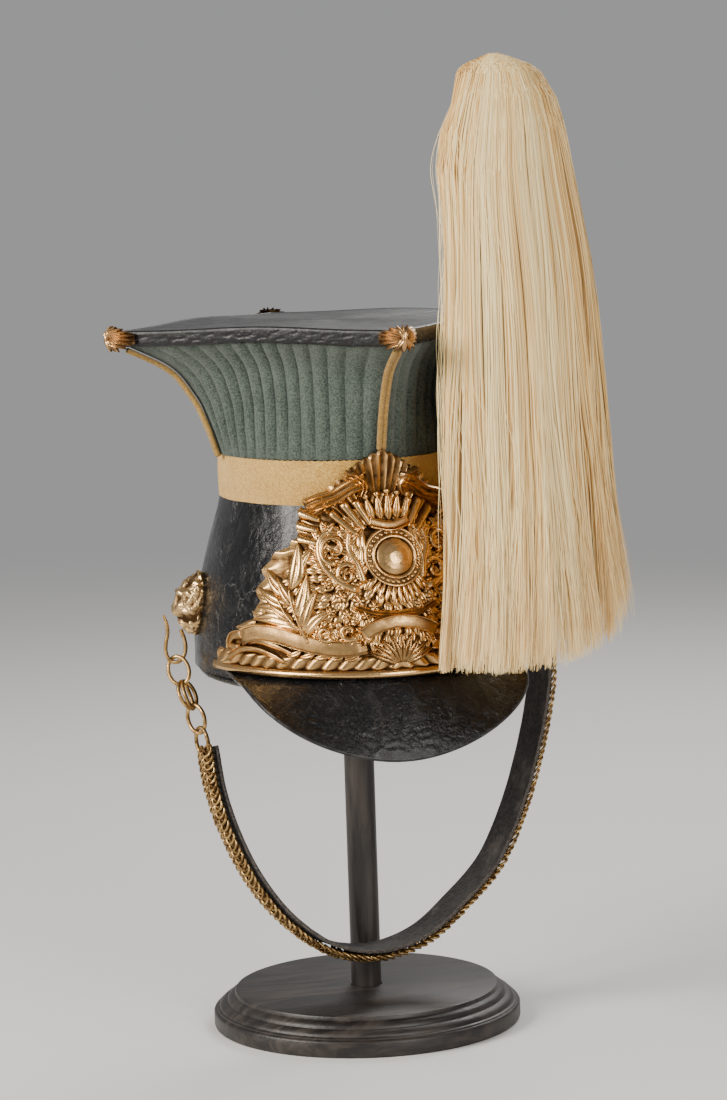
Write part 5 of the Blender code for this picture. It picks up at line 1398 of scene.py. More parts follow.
MIDDLE_SCROLL = (
    (((-15.0, 234.5), (-10, 238.8), (0, 242.0), (10, 238.8), (15.0, 234.5)), 7.2, 2.6, BORDERED, 0.0, 2.2),
    (((-17.5, 251.0), (-10, 247.0), (0, 245.6), (10, 247.0), (17.5, 251.0)), 4.4, 2.0, FOLDED, 0.0, 1.6),
    (((-13.5, 238.5), (-17.5, 236.5), (-17.0, 232.0), (-13.0, 231.0)), 4.4, 2.0, FOLDED, 0.3, 1.4),
    (((13.5, 238.5), (17.5, 236.5), (17.0, 232.0), (13.0, 231.0)), 4.4, 2.0, FOLDED, 0.3, 1.4),
)
# Straight flutes: outer end, inner end and width. The outer end comes first, as they narrow inwards.
FLUTE_LINES = (
    ((-38.3, 285.6), (-29.0, 283.2), 5.2), ((-39.0, 292.2), (-29.2, 289.6), 5.4),
    ((-38.2, 299.0), (-28.2, 294.8), 5.0), ((-13.0, 305.0), (-6.6, 291.5), 4.6),
    ((-18.6, 304.0), (-9.6, 289.4), 4.8), ((-24.2, 299.4), (-12.4, 286.6), 4.4),
)
flutes = []
for outer, inner, width in FLUTE_LINES:
    halfway = (0.5 * (outer[0] + inner[0]), 0.5 * (outer[1] + inner[1]))
    flutes.append(band_array((outer, halfway, inner), width, 2.6, ROUND_TOP, 0.35, 1.5, count=20))
flute_mesh = wrapped_skins("flutes", both_sides(flutes))
ribbon_mesh = wrapped_skins("ribbons", both_sides(band_arrays(UPPER_RIBBONS + LONG_SCROLLS)))
middle_mesh = wrapped_skins("middle", band_arrays(MIDDLE_SCROLL))
scrolls = joined_mesh("plate_scrolls", [ribbon_mesh, middle_mesh, flute_mesh])
new_piece("plate_scrolls", scrolls, gilt_finish, sharp=70)

# %% Foot moulding and its waves
FOOT_HALF = 76.8
foot_line = [(a, 214.2) for a in np.linspace(-FOOT_HALF, FOOT_HALF, 9)]
foot_roll = wrapped_skins("foot_roll", [band_array(foot_line, 4.4, 2.4, ROUND_TOP, count=220)])
WAVE_PITCH = 8.6 * MM
WAVE_LOW, WAVE_HIGH = 3.6 * MM, 11.6 * MM


def wave_place(u, v):
    """A strip of slanted lobes that lean towards the middle, like a row of breaking waves."""
    half = float(drawn(FOOT_HALF - 3.0, 219.0)[0])
    x = (2.0 * u - 1.0) * half
    up = v * (WAVE_HIGH - WAVE_LOW)
    phase = (np.abs(x) + 0.85 * up) / WAVE_PITCH
    share = phase - np.floor(phase)
    lobe = np.sin(math.pi * share) ** 0.55 * (0.45 + 0.55 * share)
    low_edge = smooth_share((v - 0.16 * (1.0 - np.sin(math.pi * share))) * 7.0)
    crest = 0.35 + 0.65 * smooth_share((1.0 - v) * 4.0)
    out = (0.2 + 2.5 * lobe * low_edge * crest) * MM - 0.9 * MM * (v > 0.99) - 0.6 * MM * (v < 0.01)
    relief = np.clip(1.1 * lobe * low_edge - 0.05, 0.0, 1.0)
    return np.column_stack((on_plate(x, WAVE_LOW + up, out), relief))


wave_mesh = off_axis(shaped_mesh("waves", 480, 14, wave_place))
waves = joined_mesh("plate_waves", [foot_roll, wave_mesh])
new_piece("plate_waves", waves, gilt_finish, sharp=70)

# %% [markdown]
# ### Shield, coronet and filling
#
# The shield is a plain dome in a beaded ring, drawn in rings round its centre. Its coronet, the fans of
# leaves and the small rosettes are common ornament of no one's own.

# %% Shield, ring and beads
SHIELD_X, SHIELD_Y = (float(value) for value in drawn(1.5, 275.0))
SHIELD_RADIUS = 15.6 * MM
SHIELD_PROFILE = (
    (0.0, 6.0, 1.0), (0.20, 5.8, 0.97), (0.40, 5.0, 0.85), (0.56, 3.9, 0.6), (0.61, 3.0, 0.0),
    (0.65, 4.4, 0.9), (0.70, 4.5, 1.0), (0.74, 3.4, 0.15), (0.88, 3.3, 0.25), (0.92, 4.3, 1.0),
    (0.97, 3.9, 0.85), (1.0, -0.4, 0.0),
)
ring_at, ring_rise, ring_relief = np.array(SHIELD_PROFILE).T


def shield_place(u, v):
    turn = u * math.tau
    x = SHIELD_X + SHIELD_RADIUS * v * np.sin(turn)
    y = SHIELD_Y + SHIELD_RADIUS * v * np.cos(turn) * 1.02
    height = np.interp(v, ring_at, ring_rise) * MM
    return np.column_stack((on_plate(x, y, height), np.interp(v, ring_at, ring_relief)))


shield_mesh = off_axis(shaped_mesh("shield", 96, 56, shield_place, closed=True))


def bead_mesh(name, places, radius, height, rows=5, columns=10):
    """Domed beads at plane places, standing on a height in millimetres."""
    v = np.linspace(0.0, 1.0, rows)[:, None]
    turn = full_turn(columns)[None, :]
    dome = radius * np.sqrt(np.clip(1.0 - v**2, 0.0, 1.0)) * 0.9
    out = height * MM + dome - 0.3 * MM * (v > 0.99) + 0.0 * turn
    arrays = []
    for x, y in places:
        flat_x = x + radius * v * np.sin(turn)
        flat_y = y + radius * v * np.cos(turn)
        arrays.append(np.dstack((flat_x, flat_y, out, 1.0 - v**3 + 0.0 * turn)))
    arrays = np.array(arrays)
    spots = on_plate(arrays[..., 0], arrays[..., 1], arrays[..., 2])
    return many_skins(name, spots, ring=True, relief=arrays[..., 3])


def off_shield(swing, reach, tall=1.0):
    """Plane place at a distance from the middle of the shield; swing 0 is up."""
    return SHIELD_X + reach * MM * math.sin(swing), SHIELD_Y + reach * MM * math.cos(swing) * tall


ring_beads = [off_shield(swing, 12.65, 1.02) for swing in full_turn(30)]
beads_mesh = bead_mesh("ring_beads", ring_beads, 1.15 * MM, 3.3)
fan = []
for i in range(-5, 6):
    swing = math.radians(180.0 + 9.0 * i)
    base, tip = off_shield(swing, 12.5), off_shield(swing, 25.5 - 0.16 * i * i)
    fan.append(leaf_array(base, tip, 1.5 * MM, 2.8 * MM, rows=13, fullness=1.3, rib=0.0, lift=0.6))
fan_mesh = wrapped_skins("fan", fan)
shield = joined_mesh("plate_shield", [shield_mesh, beads_mesh, fan_mesh])
new_piece("plate_shield", shield, gilt_finish, sharp=60)

# %% Coronet
CORONET = (
    (((-8.0, 294.4), (1.5, 291.8), (11.0, 294.4)), 4.2, 3.0, BORDERED, 0.0, 2.6),
    (((-7.6, 291.4), (1.5, 289.0), (10.6, 291.4)), 2.2, 3.4, ROUND_TOP, 0.0, 1.2),
)
coronet_points = []
tips = []
for i in range(-2, 3):
    base = (1.5 + 3.6 * i, 294.0 + 0.5 * abs(i))
    tip = (1.5 + 4.9 * i, 309.5 - 1.2 * abs(i))
    coronet_points.append(leaf_on(base, tip, 2.5, 3.6, 0.0, fullness=0.55, rib=0.2, lift=1.6))
    tips.append(drawn(tip[0], tip[1] - 0.4))
coronet_meshes = [
    wrapped_skins("coronet_band", band_arrays(CORONET)),
    wrapped_skins("coronet_points", coronet_points),
    bead_mesh("coronet_tips", tips, 1.7 * MM, 3.2),
]
coronet = joined_mesh("plate_coronet", coronet_meshes)
new_piece("plate_coronet", coronet, gilt_finish, sharp=70)

# %% Rosettes, acanthus curls and small leaves
FLOWERS = (
    (-21, 255.5, 4.0), (-14.5, 253, 4.2), (-9, 250, 3.6), (-26.5, 262, 3.4), (-25, 248, 3.2),
    (-19, 246.5, 3.4), (-12.5, 245.5, 2.8), (-26.0, 291.5, 3.0), (-17, 283, 3.2),
)


def flower_arrays(places, rows=7, columns=30):
    v = np.linspace(0.0, 1.0, rows)[:, None]
    turn = full_turn(columns)[None, :]
    arrays = []
    for degrees, height, size in places:
        x, y = drawn(degrees, height)
        petal = 0.78 + 0.22 * np.abs(np.cos(2.5 * turn)) ** 0.6
        radius = size * MM * v * petal
        swell = 0.45 + 0.55 * np.abs(np.cos(2.5 * turn)) ** 0.5
        heart = np.exp(-((v / 0.24) ** 2))
        out = (2.4 + 2.0 * np.sin(math.pi * np.clip(v, 0.0, 1.0) ** 0.8) * swell + 1.6 * heart) * MM
        out = out - 3.0 * MM * (v > 0.99)
        relief = np.clip(1.05 * np.sin(math.pi * v**0.8) * swell + heart - 0.05, 0.0, 1.0)
        arrays.append(np.dstack((x + radius * np.sin(turn), y + radius * np.cos(turn), out, relief)))
    return np.array(arrays)


def mirrored_places(places):
    return tuple(places) + tuple((-place[0], *place[1:]) for place in places)


flowers = flower_arrays(mirrored_places(FLOWERS))
flower_spots = on_plate(flowers[..., 0], flowers[..., 1], flowers[..., 2])
flower_mesh = many_skins("flowers", flower_spots, ring=True, relief=flowers[..., 3])


def curl_anchors(degrees, height, size, turns, start, spin):
    """Anchors of a spiral round a place: size in millimetres, start in degrees."""
    anchors = []
    for k in range(9):
        share = k / 8.0
        swing = math.radians(start + spin * 360.0 * turns * share)
        reach = size * (1.0 - 0.78 * share)
        anchors.append((degrees + reach * math.sin(swing) / 1.35, height + reach * math.cos(swing)))
    return anchors


# Each row: angle, height, size, turns, start and the way it winds.
CURLS = (
    (-23.0, 280.5, 8.6, 1.25, 165.0, 1.0), (-18.5, 267.0, 6.2, 1.2, 60.0, -1.0),
    (-19.0, 237.5, 4.8, 1.1, 120.0, 1.0), (-27.0, 236.5, 4.4, 1.1, 120.0, 1.0),
)
TRUNKS = (
    ((-14, 258), (-22, 264), (-28, 273), (-29, 284), (-24, 291)),
    ((-12, 262), (-14, 272), (-17, 280), (-16, 290)),
)
curl_bands = [band_array(curl_anchors(*row), 3.6, 2.6, ROUND_TOP, 0.5, 1.8) for row in CURLS]
curl_bands += [band_array(path, 4.4, 2.6, ROUND_TOP, 0.3, 1.4) for path in TRUNKS]
curl_mesh = wrapped_skins("curls", both_sides(curl_bands))
FILLING = []
for degrees, height, size, turns, start, spin in CURLS:
    for k in range(8):
        swing = math.radians(start + spin * (k * 46.0 - 20.0))
        lean = math.radians(start + spin * (k * 46.0 + 18.0))
        inner, outer = size * 0.80, size * 1.50
        base = (degrees + inner * math.sin(swing) / 1.35, height + inner * math.cos(swing))
        tip = (degrees + outer * math.sin(lean) / 1.35, height + outer * math.cos(lean))
        FILLING.append(leaf_on(base, tip, 2.1, 2.4, 0.14 * spin, rib=0.35, lift=1.0))
for path in TRUNKS:
    spots = plane_path(path, 9)
    for k in range(1, 8):
        way = spots[k + 1] - spots[k - 1]
        way = way / np.hypot(*way)
        for hand in (-1.0, 1.0):
            aside = np.array((-way[1], way[0])) * hand
            tip = spots[k] + (way * 0.75 + aside * 0.85) * 7.0 * MM
            bend = -0.14 * hand
            FILLING.append(leaf_array(spots[k], tip, 2.3 * MM, 2.3 * MM, bend, rows=13, rib=0.35, lift=0.9))
for k in range(9):
    swing = math.radians(-68.0 + 17.0 * k)
    base = (1.2 * math.sin(swing), 220.0)
    tip = (14.0 * math.sin(swing), 221.5 + 14.5 * math.cos(swing))
    FILLING.append(leaf_on(base, tip, 2.8, 2.8, 0.0, rib=0.35, lift=1.0 - 0.1 * abs(k - 4)))
SINGLE_LEAVES = (
    ((-12.6, 270), (-10.6, 284)), ((-11.2, 277), (-9.8, 291)), ((-14.5, 274), (-15.5, 287)),
    ((-27, 286), (-33, 281)),
)
for base, tip in SINGLE_LEAVES:
    FILLING.append(leaf_on(base, tip, 2.8, 2.6, 0.1, rib=0.35, lift=0.9))
for k in range(5):
    base, tip = (-15.5 - 5.2 * k, 225.0 + 0.5 * k), (-21.5 - 5.2 * k, 222.6 + 0.4 * k)
    FILLING.append(leaf_on(base, tip, 2.0, 2.0, 0.1, lift=0.6))
filling_mesh = wrapped_skins("filling", both_sides(FILLING))
filled = joined_mesh("plate_flowers", [flower_mesh, curl_mesh, filling_mesh])
new_piece("plate_flowers", filled, gilt_finish, sharp=70)

# %% [markdown]
# ## Lion masks, hooks and rings
#
# A lion's mask at each side carries the chin chain. Its face is a height field on a polar grid: a dome
# for the head with bumps added for the muzzle, nose, brows and cheeks, pits for the eyes and the
# mouth's line, and overlapping curls of mane round it. The hook under it is a bent wire, and loose
# oval links hang between it and the chain.

# %% Lion mask
MASK_RADIUS = 17.5 * MM
MASK_RISE = 16.6 * MM
MASK_TURN = math.radians(101.0)
MASK_HEIGHT = RIM + 35.0 * MM


def mask_frame(angle):
    """Middle, the wearer's-left direction, up and outward directions of a mask's seat."""
    middle = skull_spot(np.array([angle]), np.array([MASK_HEIGHT]), 0.6 * MM)[0]
    low = skull_spot(np.array([angle]), np.array([MASK_HEIGHT - 1.0 * MM]), 0.6 * MM)[0]
    nearby = skull_spot(np.array([angle + 0.01]), np.array([MASK_HEIGHT]), 0.6 * MM)[0]
    up = (middle - low) / np.linalg.norm(middle - low)
    across = (nearby - middle) / np.linalg.norm(nearby - middle)
    outward = np.cross(across, up)
    return middle, across, np.cross(outward, across), outward / np.linalg.norm(outward)


def hill(x, y, at_x, at_y, wide, tall):
    return np.exp(-(((x - at_x) / wide) ** 2) - ((y - at_y) / tall) ** 2)


FACE_PROFILE = (
    (-1.0, 0.14), (-0.90, 0.42), (-0.75, 0.62), (-0.50, 0.84), (-0.36, 0.97), (-0.22, 1.0), (0.05, 0.90),
    (0.26, 0.92), (0.42, 0.82), (0.56, 0.70), (0.82, 0.40), (0.94, 0.20), (1.0, 0.08),
)
face_at, face_high = np.array(FACE_PROFILE).T
MASK_CURLS = 96
CURL_LONG, CURL_WIDE = 0.23, 0.125
CURL_LIFT = 2.7 * MM
curl_step = np.arange(MASK_CURLS) + 0.5
curl_slope = np.arccos(1.0 - curl_step / MASK_CURLS)
curl_turn = curl_step * math.pi * (3.0 - math.sqrt(5.0)) + 0.35 * np.sin(curl_step * 5.3)
curl_low = np.sin(curl_slope)
curl_spots = columns_of(curl_low * np.sin(curl_turn), curl_low * np.cos(curl_turn), np.cos(curl_slope))
curl_swing = 0.8 * np.sin(curl_step * 2.7)
curl_high = 0.80 + 0.20 * np.sin(curl_step * 4.1)


def mask_curls(slope, turn):
    """Height from 0 to 1 of overlapping curls on a dome; slope is 0 at its middle."""
    turn = np.abs(turn)
    on_dome = np.stack((np.sin(slope) * np.sin(turn), np.sin(slope) * np.cos(turn), np.cos(slope)), axis=-1)
    radial = np.stack((np.cos(slope) * np.sin(turn), np.cos(slope) * np.cos(turn), -np.sin(slope)), axis=-1)
    around = np.stack((np.cos(turn), -np.sin(turn), 0.0 * turn), axis=-1)
    off = curl_spots[None] - on_dome[:, None]
    down = (off * radial[:, None]).sum(axis=-1)
    side = (off * around[:, None]).sum(axis=-1)
    down, side = (
        down * np.cos(curl_swing) + side * np.sin(curl_swing),
        side * np.cos(curl_swing) - down * np.sin(curl_swing),
    )
    reach = (down / CURL_LONG) ** 2 + (side / CURL_WIDE) ** 2
    lump = np.sqrt(np.maximum(1.0 - reach, 0.0)) * curl_high
    groove = 0.10 * np.cos(side / CURL_WIDE * 7.0) * (lump > 0.0)
    return (lump + groove * np.clip(lump, 0.0, 1.0)).max(axis=1)


def lion_relief(x, y, slope, turn):
    """Relief from 0 to 1: a face in the middle and curls of mane round it; x is mirrored."""
    side = np.abs(x)
    muzzle = 0.50 * hill(side, y, 0.15, -0.36, 0.15, 0.13) + 0.30 * hill(x, y, 0.0, -0.20, 0.12, 0.09)
    nose = 0.42 * hill(x, y, 0.0, 0.05, 0.085, 0.20) - 0.45 * hill(side, y, 0.20, 0.00, 0.06, 0.15)
    brow = 0.60 * hill(side, y, 0.23, 0.30, 0.16, 0.075) - 0.35 * hill(x, y, 0.0, 0.42, 0.05, 0.12)
    cheek = 0.48 * hill(side, y, 0.44, -0.10, 0.14, 0.13)
    eyes = -0.70 * hill(side, y, 0.26, 0.14, 0.11, 0.07) + 0.60 * hill(side, y, 0.26, 0.14, 0.045, 0.04)
    mouth = -0.75 * hill(side, y, 0.14, -0.55, 0.20, 0.045) - 0.30 * hill(x, y, 0.0, -0.42, 0.025, 0.10)
    chin = 0.35 * hill(x, y, 0.0, -0.68, 0.15, 0.07)
    face = 0.42 + muzzle + nose + brow + cheek + eyes + mouth + chin
    mane_share = smooth_share((np.hypot(x, y * 0.86 + 0.03) - 0.46) * 6.0)
    return np.clip(face * (1.0 - mane_share) + mask_curls(slope, turn) * mane_share, 0.0, 1.05)


def lion_mesh(name, angle):
    middle, across, up, outward = mask_frame(angle)

    def place(u, v):
        turn = u * math.tau
        turn = np.where(turn > math.pi, turn - math.tau, turn)
        slope = np.clip(v / 0.93, 0.0, 1.0) * math.pi / 2.0
        skirt = np.clip((v - 0.93) / 0.07, 0.0, 1.0)
        x, y = np.sin(slope) * np.sin(turn), np.sin(slope) * np.cos(turn)
        wide = np.sqrt(np.maximum(1.0 - y**2, 1e-4))
        body = np.interp(y, face_at, face_high) * np.clip(1.0 - (np.abs(x) / wide) ** 2.2, 0.0, 1.0)
        out = (2.6 * MM + (MASK_RISE - 3.2 * MM) * body) * (1.0 - skirt) - 1.0 * MM * skirt
        spots = middle + np.outer(x * MASK_RADIUS * 0.97, across) + np.outer(y * MASK_RADIUS * 0.97, up)
        relief = lion_relief(x, y, slope, turn) * (1.0 - skirt)
        return np.column_stack((spots + np.outer(out, outward), relief))

    mesh = faced_out(shaped_mesh(name, 168, 66, place, closed=True))
    relief = np.empty(len(mesh.vertices))
    mesh.attributes["relief"].data.foreach_get("value", relief)
    lift = np.where(relief > 1e-4, CURL_LIFT * (relief - 0.38), 0.0)
    move_points(mesh, points_of(mesh) + points_of(mesh, "normal") * lift[:, None])
    mesh.update()
    return mesh


# %% Hooks
WIRE = 1.15 * MM
HOOK_SHAPE = (
    (0.60, -0.92), (0.46, -1.20), (0.38, -1.54), (0.43, -1.80), (0.60, -1.97), (0.82, -1.95), (0.98, -1.74),
    (1.03, -1.40), (1.01, -1.06), (1.08, -0.76), (1.21, -0.50),
)


def smooth_path(points, count):
    """Evenly spaced points on a smooth line through points in space."""
    points = np.array(points, float)
    steps = np.concatenate(((0.0,), np.cumsum(np.linalg.norm(np.diff(points, axis=0), axis=1))))
    shares, count_dense = steps / steps[-1], 40 * len(points)
    dense = np.stack([dense_curve(list(zip(shares, way)), count_dense)[1] for way in points.T], axis=-1)
    lengths = np.concatenate(((0.0,), np.cumsum(np.linalg.norm(np.diff(dense, axis=0), axis=1))))
    even = np.linspace(0.0, lengths[-1], count)
    return np.stack([np.interp(even, lengths, dense[:, k]) for k in range(3)], axis=-1)


def hook_spot(angle, out, up_share):
    middle, across, up, outward = mask_frame(angle)
    return middle + up * (up_share * MASK_RADIUS) + outward * (out * MASK_RADIUS)


for side, sign in (("right", -1.0), ("left", 1.0)):
    mask = lion_mesh("lion_mask_" + side, sign * MASK_TURN)
    new_piece("lion_mask_" + side, mask, mask_gilt_finish, ("lion_boss_" + side,), sharp=70)
    hook_path = smooth_path([hook_spot(sign * MASK_TURN, out, up) for out, up in HOOK_SHAPE], 72)
    taper = WIRE * np.interp(np.linspace(0.0, 1.0, 72), (0.0, 0.9, 1.0), (1.0, 0.95, 0.62))
    hook_mesh = tube_mesh("hook_wire_" + side, hook_path, taper, 14, (0.0, 0.0, 1.0))
    new_piece("hook_wire_" + side, hook_mesh, wire_finish, ("chain_hook_" + side,), sharp=60)

# %% [markdown]
# ## Chin strap and chain
#
# The strap hangs in a loop with a slight twist, so each place along it has its own width and outward
# directions. They are worked out once from the route and shared by the strap, the chain on its outer
# side and the rings at the ends.

# %% Route of the strap
STRAP_ROUTE = (
    (-86.9, 4.0, 163.0), (-84.4, -1.6, 139.0), (-78.6, -6.4, 117.0), (-67.5, -11.4, 91.5),
    (-50.0, -16.0, 67.6), (-26.5, -18.6, 50.4), (0.0, -19.2, 45.0), (26.5, -17.9, 51.2), (50.0, -15.0, 67.5),
    (70.4, -11.4, 85.6), (88.0, -5.4, 113.5), (101.0, 1.2, 143.0), (110.6, 8.0, 171.5), (114.8, 12.6, 190.0),
    (115.4, 16.6, 204.0), (110.4, 19.4, 214.4), (101.5, 21.2, 217.0),
)
STRAP_TWIST = (17.0, 13.0, 14.0)
STRAP_WIDE, STRAP_THICK = 21.0 * MM, 2.2 * MM
STRAP_STEPS = 260

strap_line = smooth_path(np.array(STRAP_ROUTE) * MM, STRAP_STEPS)
strap_share = np.linspace(0.0, 1.0, STRAP_STEPS)
strap_turn = np.radians(np.interp(strap_share, (0.0, 0.5, 1.0), STRAP_TWIST))
strap_along = np.gradient(strap_line, axis=0)
strap_along /= np.linalg.norm(strap_along, axis=1)[:, None]
strap_across = columns_of(-np.sin(strap_turn), np.cos(strap_turn), 0.0)
strap_across = strap_across - strap_along * (strap_across * strap_along).sum(axis=1)[:, None]
strap_across /= np.linalg.norm(strap_across, axis=1)[:, None]
strap_outward = np.cross(strap_across, strap_along)
strap_length = np.linalg.norm(np.diff(strap_line, axis=0), axis=1).sum()
print("strap length", round(strap_length, 4))


def on_strap(share, across, outward):
    """World places at shares of the strap's length, with offsets across it and outwards."""
    line = np.stack([np.interp(share, strap_share, strap_line[:, k]) for k in range(3)], axis=-1)
    side = np.stack([np.interp(share, strap_share, strap_across[:, k]) for k in range(3)], axis=-1)
    out = np.stack([np.interp(share, strap_share, strap_outward[:, k]) for k in range(3)], axis=-1)
    return line + side * np.asarray(across)[..., None] + out * np.asarray(outward)[..., None]


# %% Strap leather
STRAP_SECTION = (
    (0.0, -1.0, -0.35), (0.05, -0.985, -0.9), (0.10, -0.93, -1.0), (0.24, -0.4, -0.92), (0.38, 0.4, -0.92),
    (0.45, 0.93, -1.0), (0.50, 0.985, -0.9), (0.55, 1.0, 0.0), (0.60, 0.985, 0.9), (0.64, 0.93, 1.0),
    (0.80, 0.0, 0.9), (0.93, -0.93, 1.0), (0.97, -0.985, 0.9), (1.0, -1.0, -0.35),
)
section_at, section_side, section_out = np.array(STRAP_SECTION).T


def strap_place(u, v):
    across = np.interp(u, section_at, section_side) * 0.5 * STRAP_WIDE
    outward = np.interp(u, section_at, section_out) * 0.5 * STRAP_THICK
    plain = on_strap(v, across, outward)
    worn = ripple(plain, 0.009, 4.0) + 0.6 * ripple(plain, 0.0031, 2.0)
    edge = smooth_share((np.abs(across) / (0.5 * STRAP_WIDE) - 0.8) * 5.0)
    spots = on_strap(v, across + 0.34 * MM * worn * edge * np.sign(across), outward + 0.14 * MM * worn)
    rim = smooth_share((np.abs(across) / (0.5 * STRAP_WIDE) - 0.955) / 0.03)
    return np.column_stack((spots, rim))


strap_mesh = faced_out(capped(shaped_mesh("strap_leather", 36, 420, strap_place, closed=True)))
new_piece("strap_leather", strap_mesh, lining_finish, ("chin_strap",), sharp=70)

# %% [markdown]
# The chain is three rows of round rings side by side, each linked through the one before it, and
# pressed flat against the strap so that they lie like fallen dominoes. The middle row leans the other
# way. Every ring is the same small torus, placed by numpy.

# %% Interlaced rings
CHAIN_PITCH = 3.75 * MM
RING_WIRE = 0.74 * MM
RING_RADIUS = 3.9 * MM - RING_WIRE
RING_LEAN = math.radians(25.0)
ROW_OFFSET = 4.6 * MM
ROW_SHIFT = -1.9 * MM
ROW_LIFTS = (1.1, 0.5, 0.0)


def chain_rings():
    count = int(strap_length / CHAIN_PITCH)
    turn, around = full_turn(16), full_turn(6)
    lying = 0.5 * STRAP_THICK + 0.35 * MM + RING_RADIUS * math.sin(RING_LEAN) + RING_WIRE
    rings = []
    for row, sign in ((-1, 1.0), (0, -1.0), (1, 1.0)):
        for i in range(count):
            share = min((i + (0.5 if row else 1.0)) / count, 1.0)
            lean = sign * RING_LEAN + random.uniform(-0.05, 0.05)
            roll = random.uniform(-0.10, 0.10) - 0.22 * row
            height = lying + ROW_LIFTS[row + 1] * MM
            middle = on_strap(np.array([share]), np.array([row * ROW_OFFSET + ROW_SHIFT]), np.array([height]))
            at = min(int(share * (STRAP_STEPS - 1)), STRAP_STEPS - 1)
            along, side, out = strap_along[at], strap_across[at], strap_outward[at]
            long_way = along * math.cos(lean) + out * math.sin(lean)
            wide_way = side * math.cos(roll) + out * math.sin(roll)
            away = np.outer(np.cos(turn), long_way * 1.10) + np.outer(np.sin(turn), wide_way)
            line = middle[0] + RING_RADIUS * away
            tilt = np.outer(np.sin(around), np.cross(wide_way, long_way))
            swept = np.cos(around)[None, :, None] * away[:, None, :] + tilt[None]
            rings.append(line[:, None, :] + RING_WIRE * swept)
    return np.array(rings)


chin_rings = many_skins("chin_rings", chain_rings(), ring=True, loop=True)


def oval_link(start, end, flat_side, wide=14.5 * MM, wire=WIRE, steps=40):
    """A closed oval of wire whose ends run through two places; flat_side is its face's normal."""
    start, end = np.array(start), np.array(end)
    axis = (end - start) / np.linalg.norm(end - start)
    across = np.cross(flat_side, axis)
    across /= np.linalg.norm(across)
    turn = full_turn(steps)
    half = 0.5 * np.linalg.norm(end - start)
    points = 0.5 * (start + end) + np.outer(half * np.cos(turn), axis)
    points = points + np.outer((0.5 * wide - wire) * np.sin(turn), across)
    return tube_mesh("link", points, wire, 12, np.cross(axis, across), loop=True)


def end_ring_ends(row, sign):
    near = strap_line[row] + strap_outward[row] * (0.5 * STRAP_THICK + 0.3 * MM + 1.1 * WIRE)
    near = near - strap_along[row] * (sign * 5.0 * MM)
    if sign < 0.0:
        far = near - strap_along[row] * (19.0 * MM - 2.0 * WIRE)
    else:
        hook = hook_spot(MASK_TURN, 1.035, -1.30)
        far = hook + (hook - near) / np.linalg.norm(hook - near) * (2.0 * WIRE + 0.6 * MM)
    return near, far


right_near, right_far = end_ring_ends(0, -1.0)
left_near, left_far = end_ring_ends(STRAP_STEPS - 1, 1.0)
end_links = [
    oval_link(right_near, right_far, np.cross(right_far - right_near, strap_across[0])),
    oval_link(left_near, left_far, np.cross(left_far - left_near, strap_across[-1])),
]
chain_mesh = joined_mesh("chin_rings", [chin_rings, *end_links])
new_piece("chin_rings", faced_out(chain_mesh), chain_finish, ("ring_chain",))

# %% Open links between the hook and the chain
FACING = np.array((-0.30, -0.954, 0.0))
LINK_TURNS = (14.0, -52.0, 36.0)
links_start = hook_spot(-MASK_TURN, 0.66, -1.97)
links_way = right_far - links_start
links_axis = Vector(links_way).normalized()
link_bite = 2.0 * WIRE + 0.6 * MM
link_inner = (np.linalg.norm(links_way) + 2.0 * link_bite + 2.0 * (2.0 * WIRE - 0.6 * MM)) / 3.0
link_step = link_inner - 2.0 * WIRE + 0.6 * MM
half_way = np.array(links_axis) * (0.5 * link_inner)


def open_link(number, degrees, wide=14.5 * MM, shift=0.0):
    middle = links_start + np.array(links_axis) * (0.5 * link_inner - link_bite + link_step * number + shift)
    flat_side = np.array(Matrix.Rotation(math.radians(degrees), 3, links_axis) @ Vector(FACING))
    return oval_link(middle - half_way, middle + half_way, flat_side, wide)


open_links = [open_link(number, degrees) for number, degrees in enumerate(LINK_TURNS)]
open_links.append(open_link(1, -78.0, 11.0 * MM, 0.5 * MM))
new_piece("open_rings", joined_mesh("open_rings", open_links), wire_finish, ("open_links",))

# %% [markdown]
# ## Rosette and plume socket
#
# The rosette behind the plume is a leather disc with a cushion of braid rings round a domed button. Its
# parts are spun shapes laid on a leaning plane in front of the flutes.

# %% Rosette
PLUME_TURN = math.radians(45.0)
plume_out = np.array((math.sin(PLUME_TURN), -math.cos(PLUME_TURN), 0.0))
plume_side = np.array((math.cos(PLUME_TURN), math.sin(PLUME_TURN), 0.0))
disc_low, disc_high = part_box("rosette_disc")
ROSETTE_LEAN = math.radians(9.0)
rosette_middle = 0.5 * (np.array(disc_low) + np.array(disc_high))
rosette_face = plume_out * math.cos(ROSETTE_LEAN) - np.array((0.0, 0.0, math.sin(ROSETTE_LEAN)))
rosette_across = np.cross((0.0, 0.0, 1.0), rosette_face)
rosette_across /= np.linalg.norm(rosette_across)
rosette_up = np.cross(rosette_face, rosette_across)
rosette_seat = rosette_middle - rosette_face * 1.5 * MM
rosette_turn = Matrix((rosette_across, rosette_up, rosette_face)).transposed().to_4x4()
rosette_matrix = Matrix.Translation(Vector(rosette_seat)) @ rosette_turn


def rosette_piece(name, profile, steps, material, node, waves=0, depth=0.0):
    """A spun part on the rosette's plane; waves is how many scallops its raised part has."""
    mesh = spun_mesh(name, profile, steps)
    if waves:
        spots = points_of(mesh)
        raised = smooth_share((spots[:, 2] / MM - 3.4) * 1.2)
        spots[:, 2] += depth * MM * np.cos(waves * np.arctan2(spots[:, 0], spots[:, 1])) * raised
        move_points(mesh, spots)
    mesh.transform(rosette_matrix)
    new_piece(name, mesh, material, (node,), sharp=50)


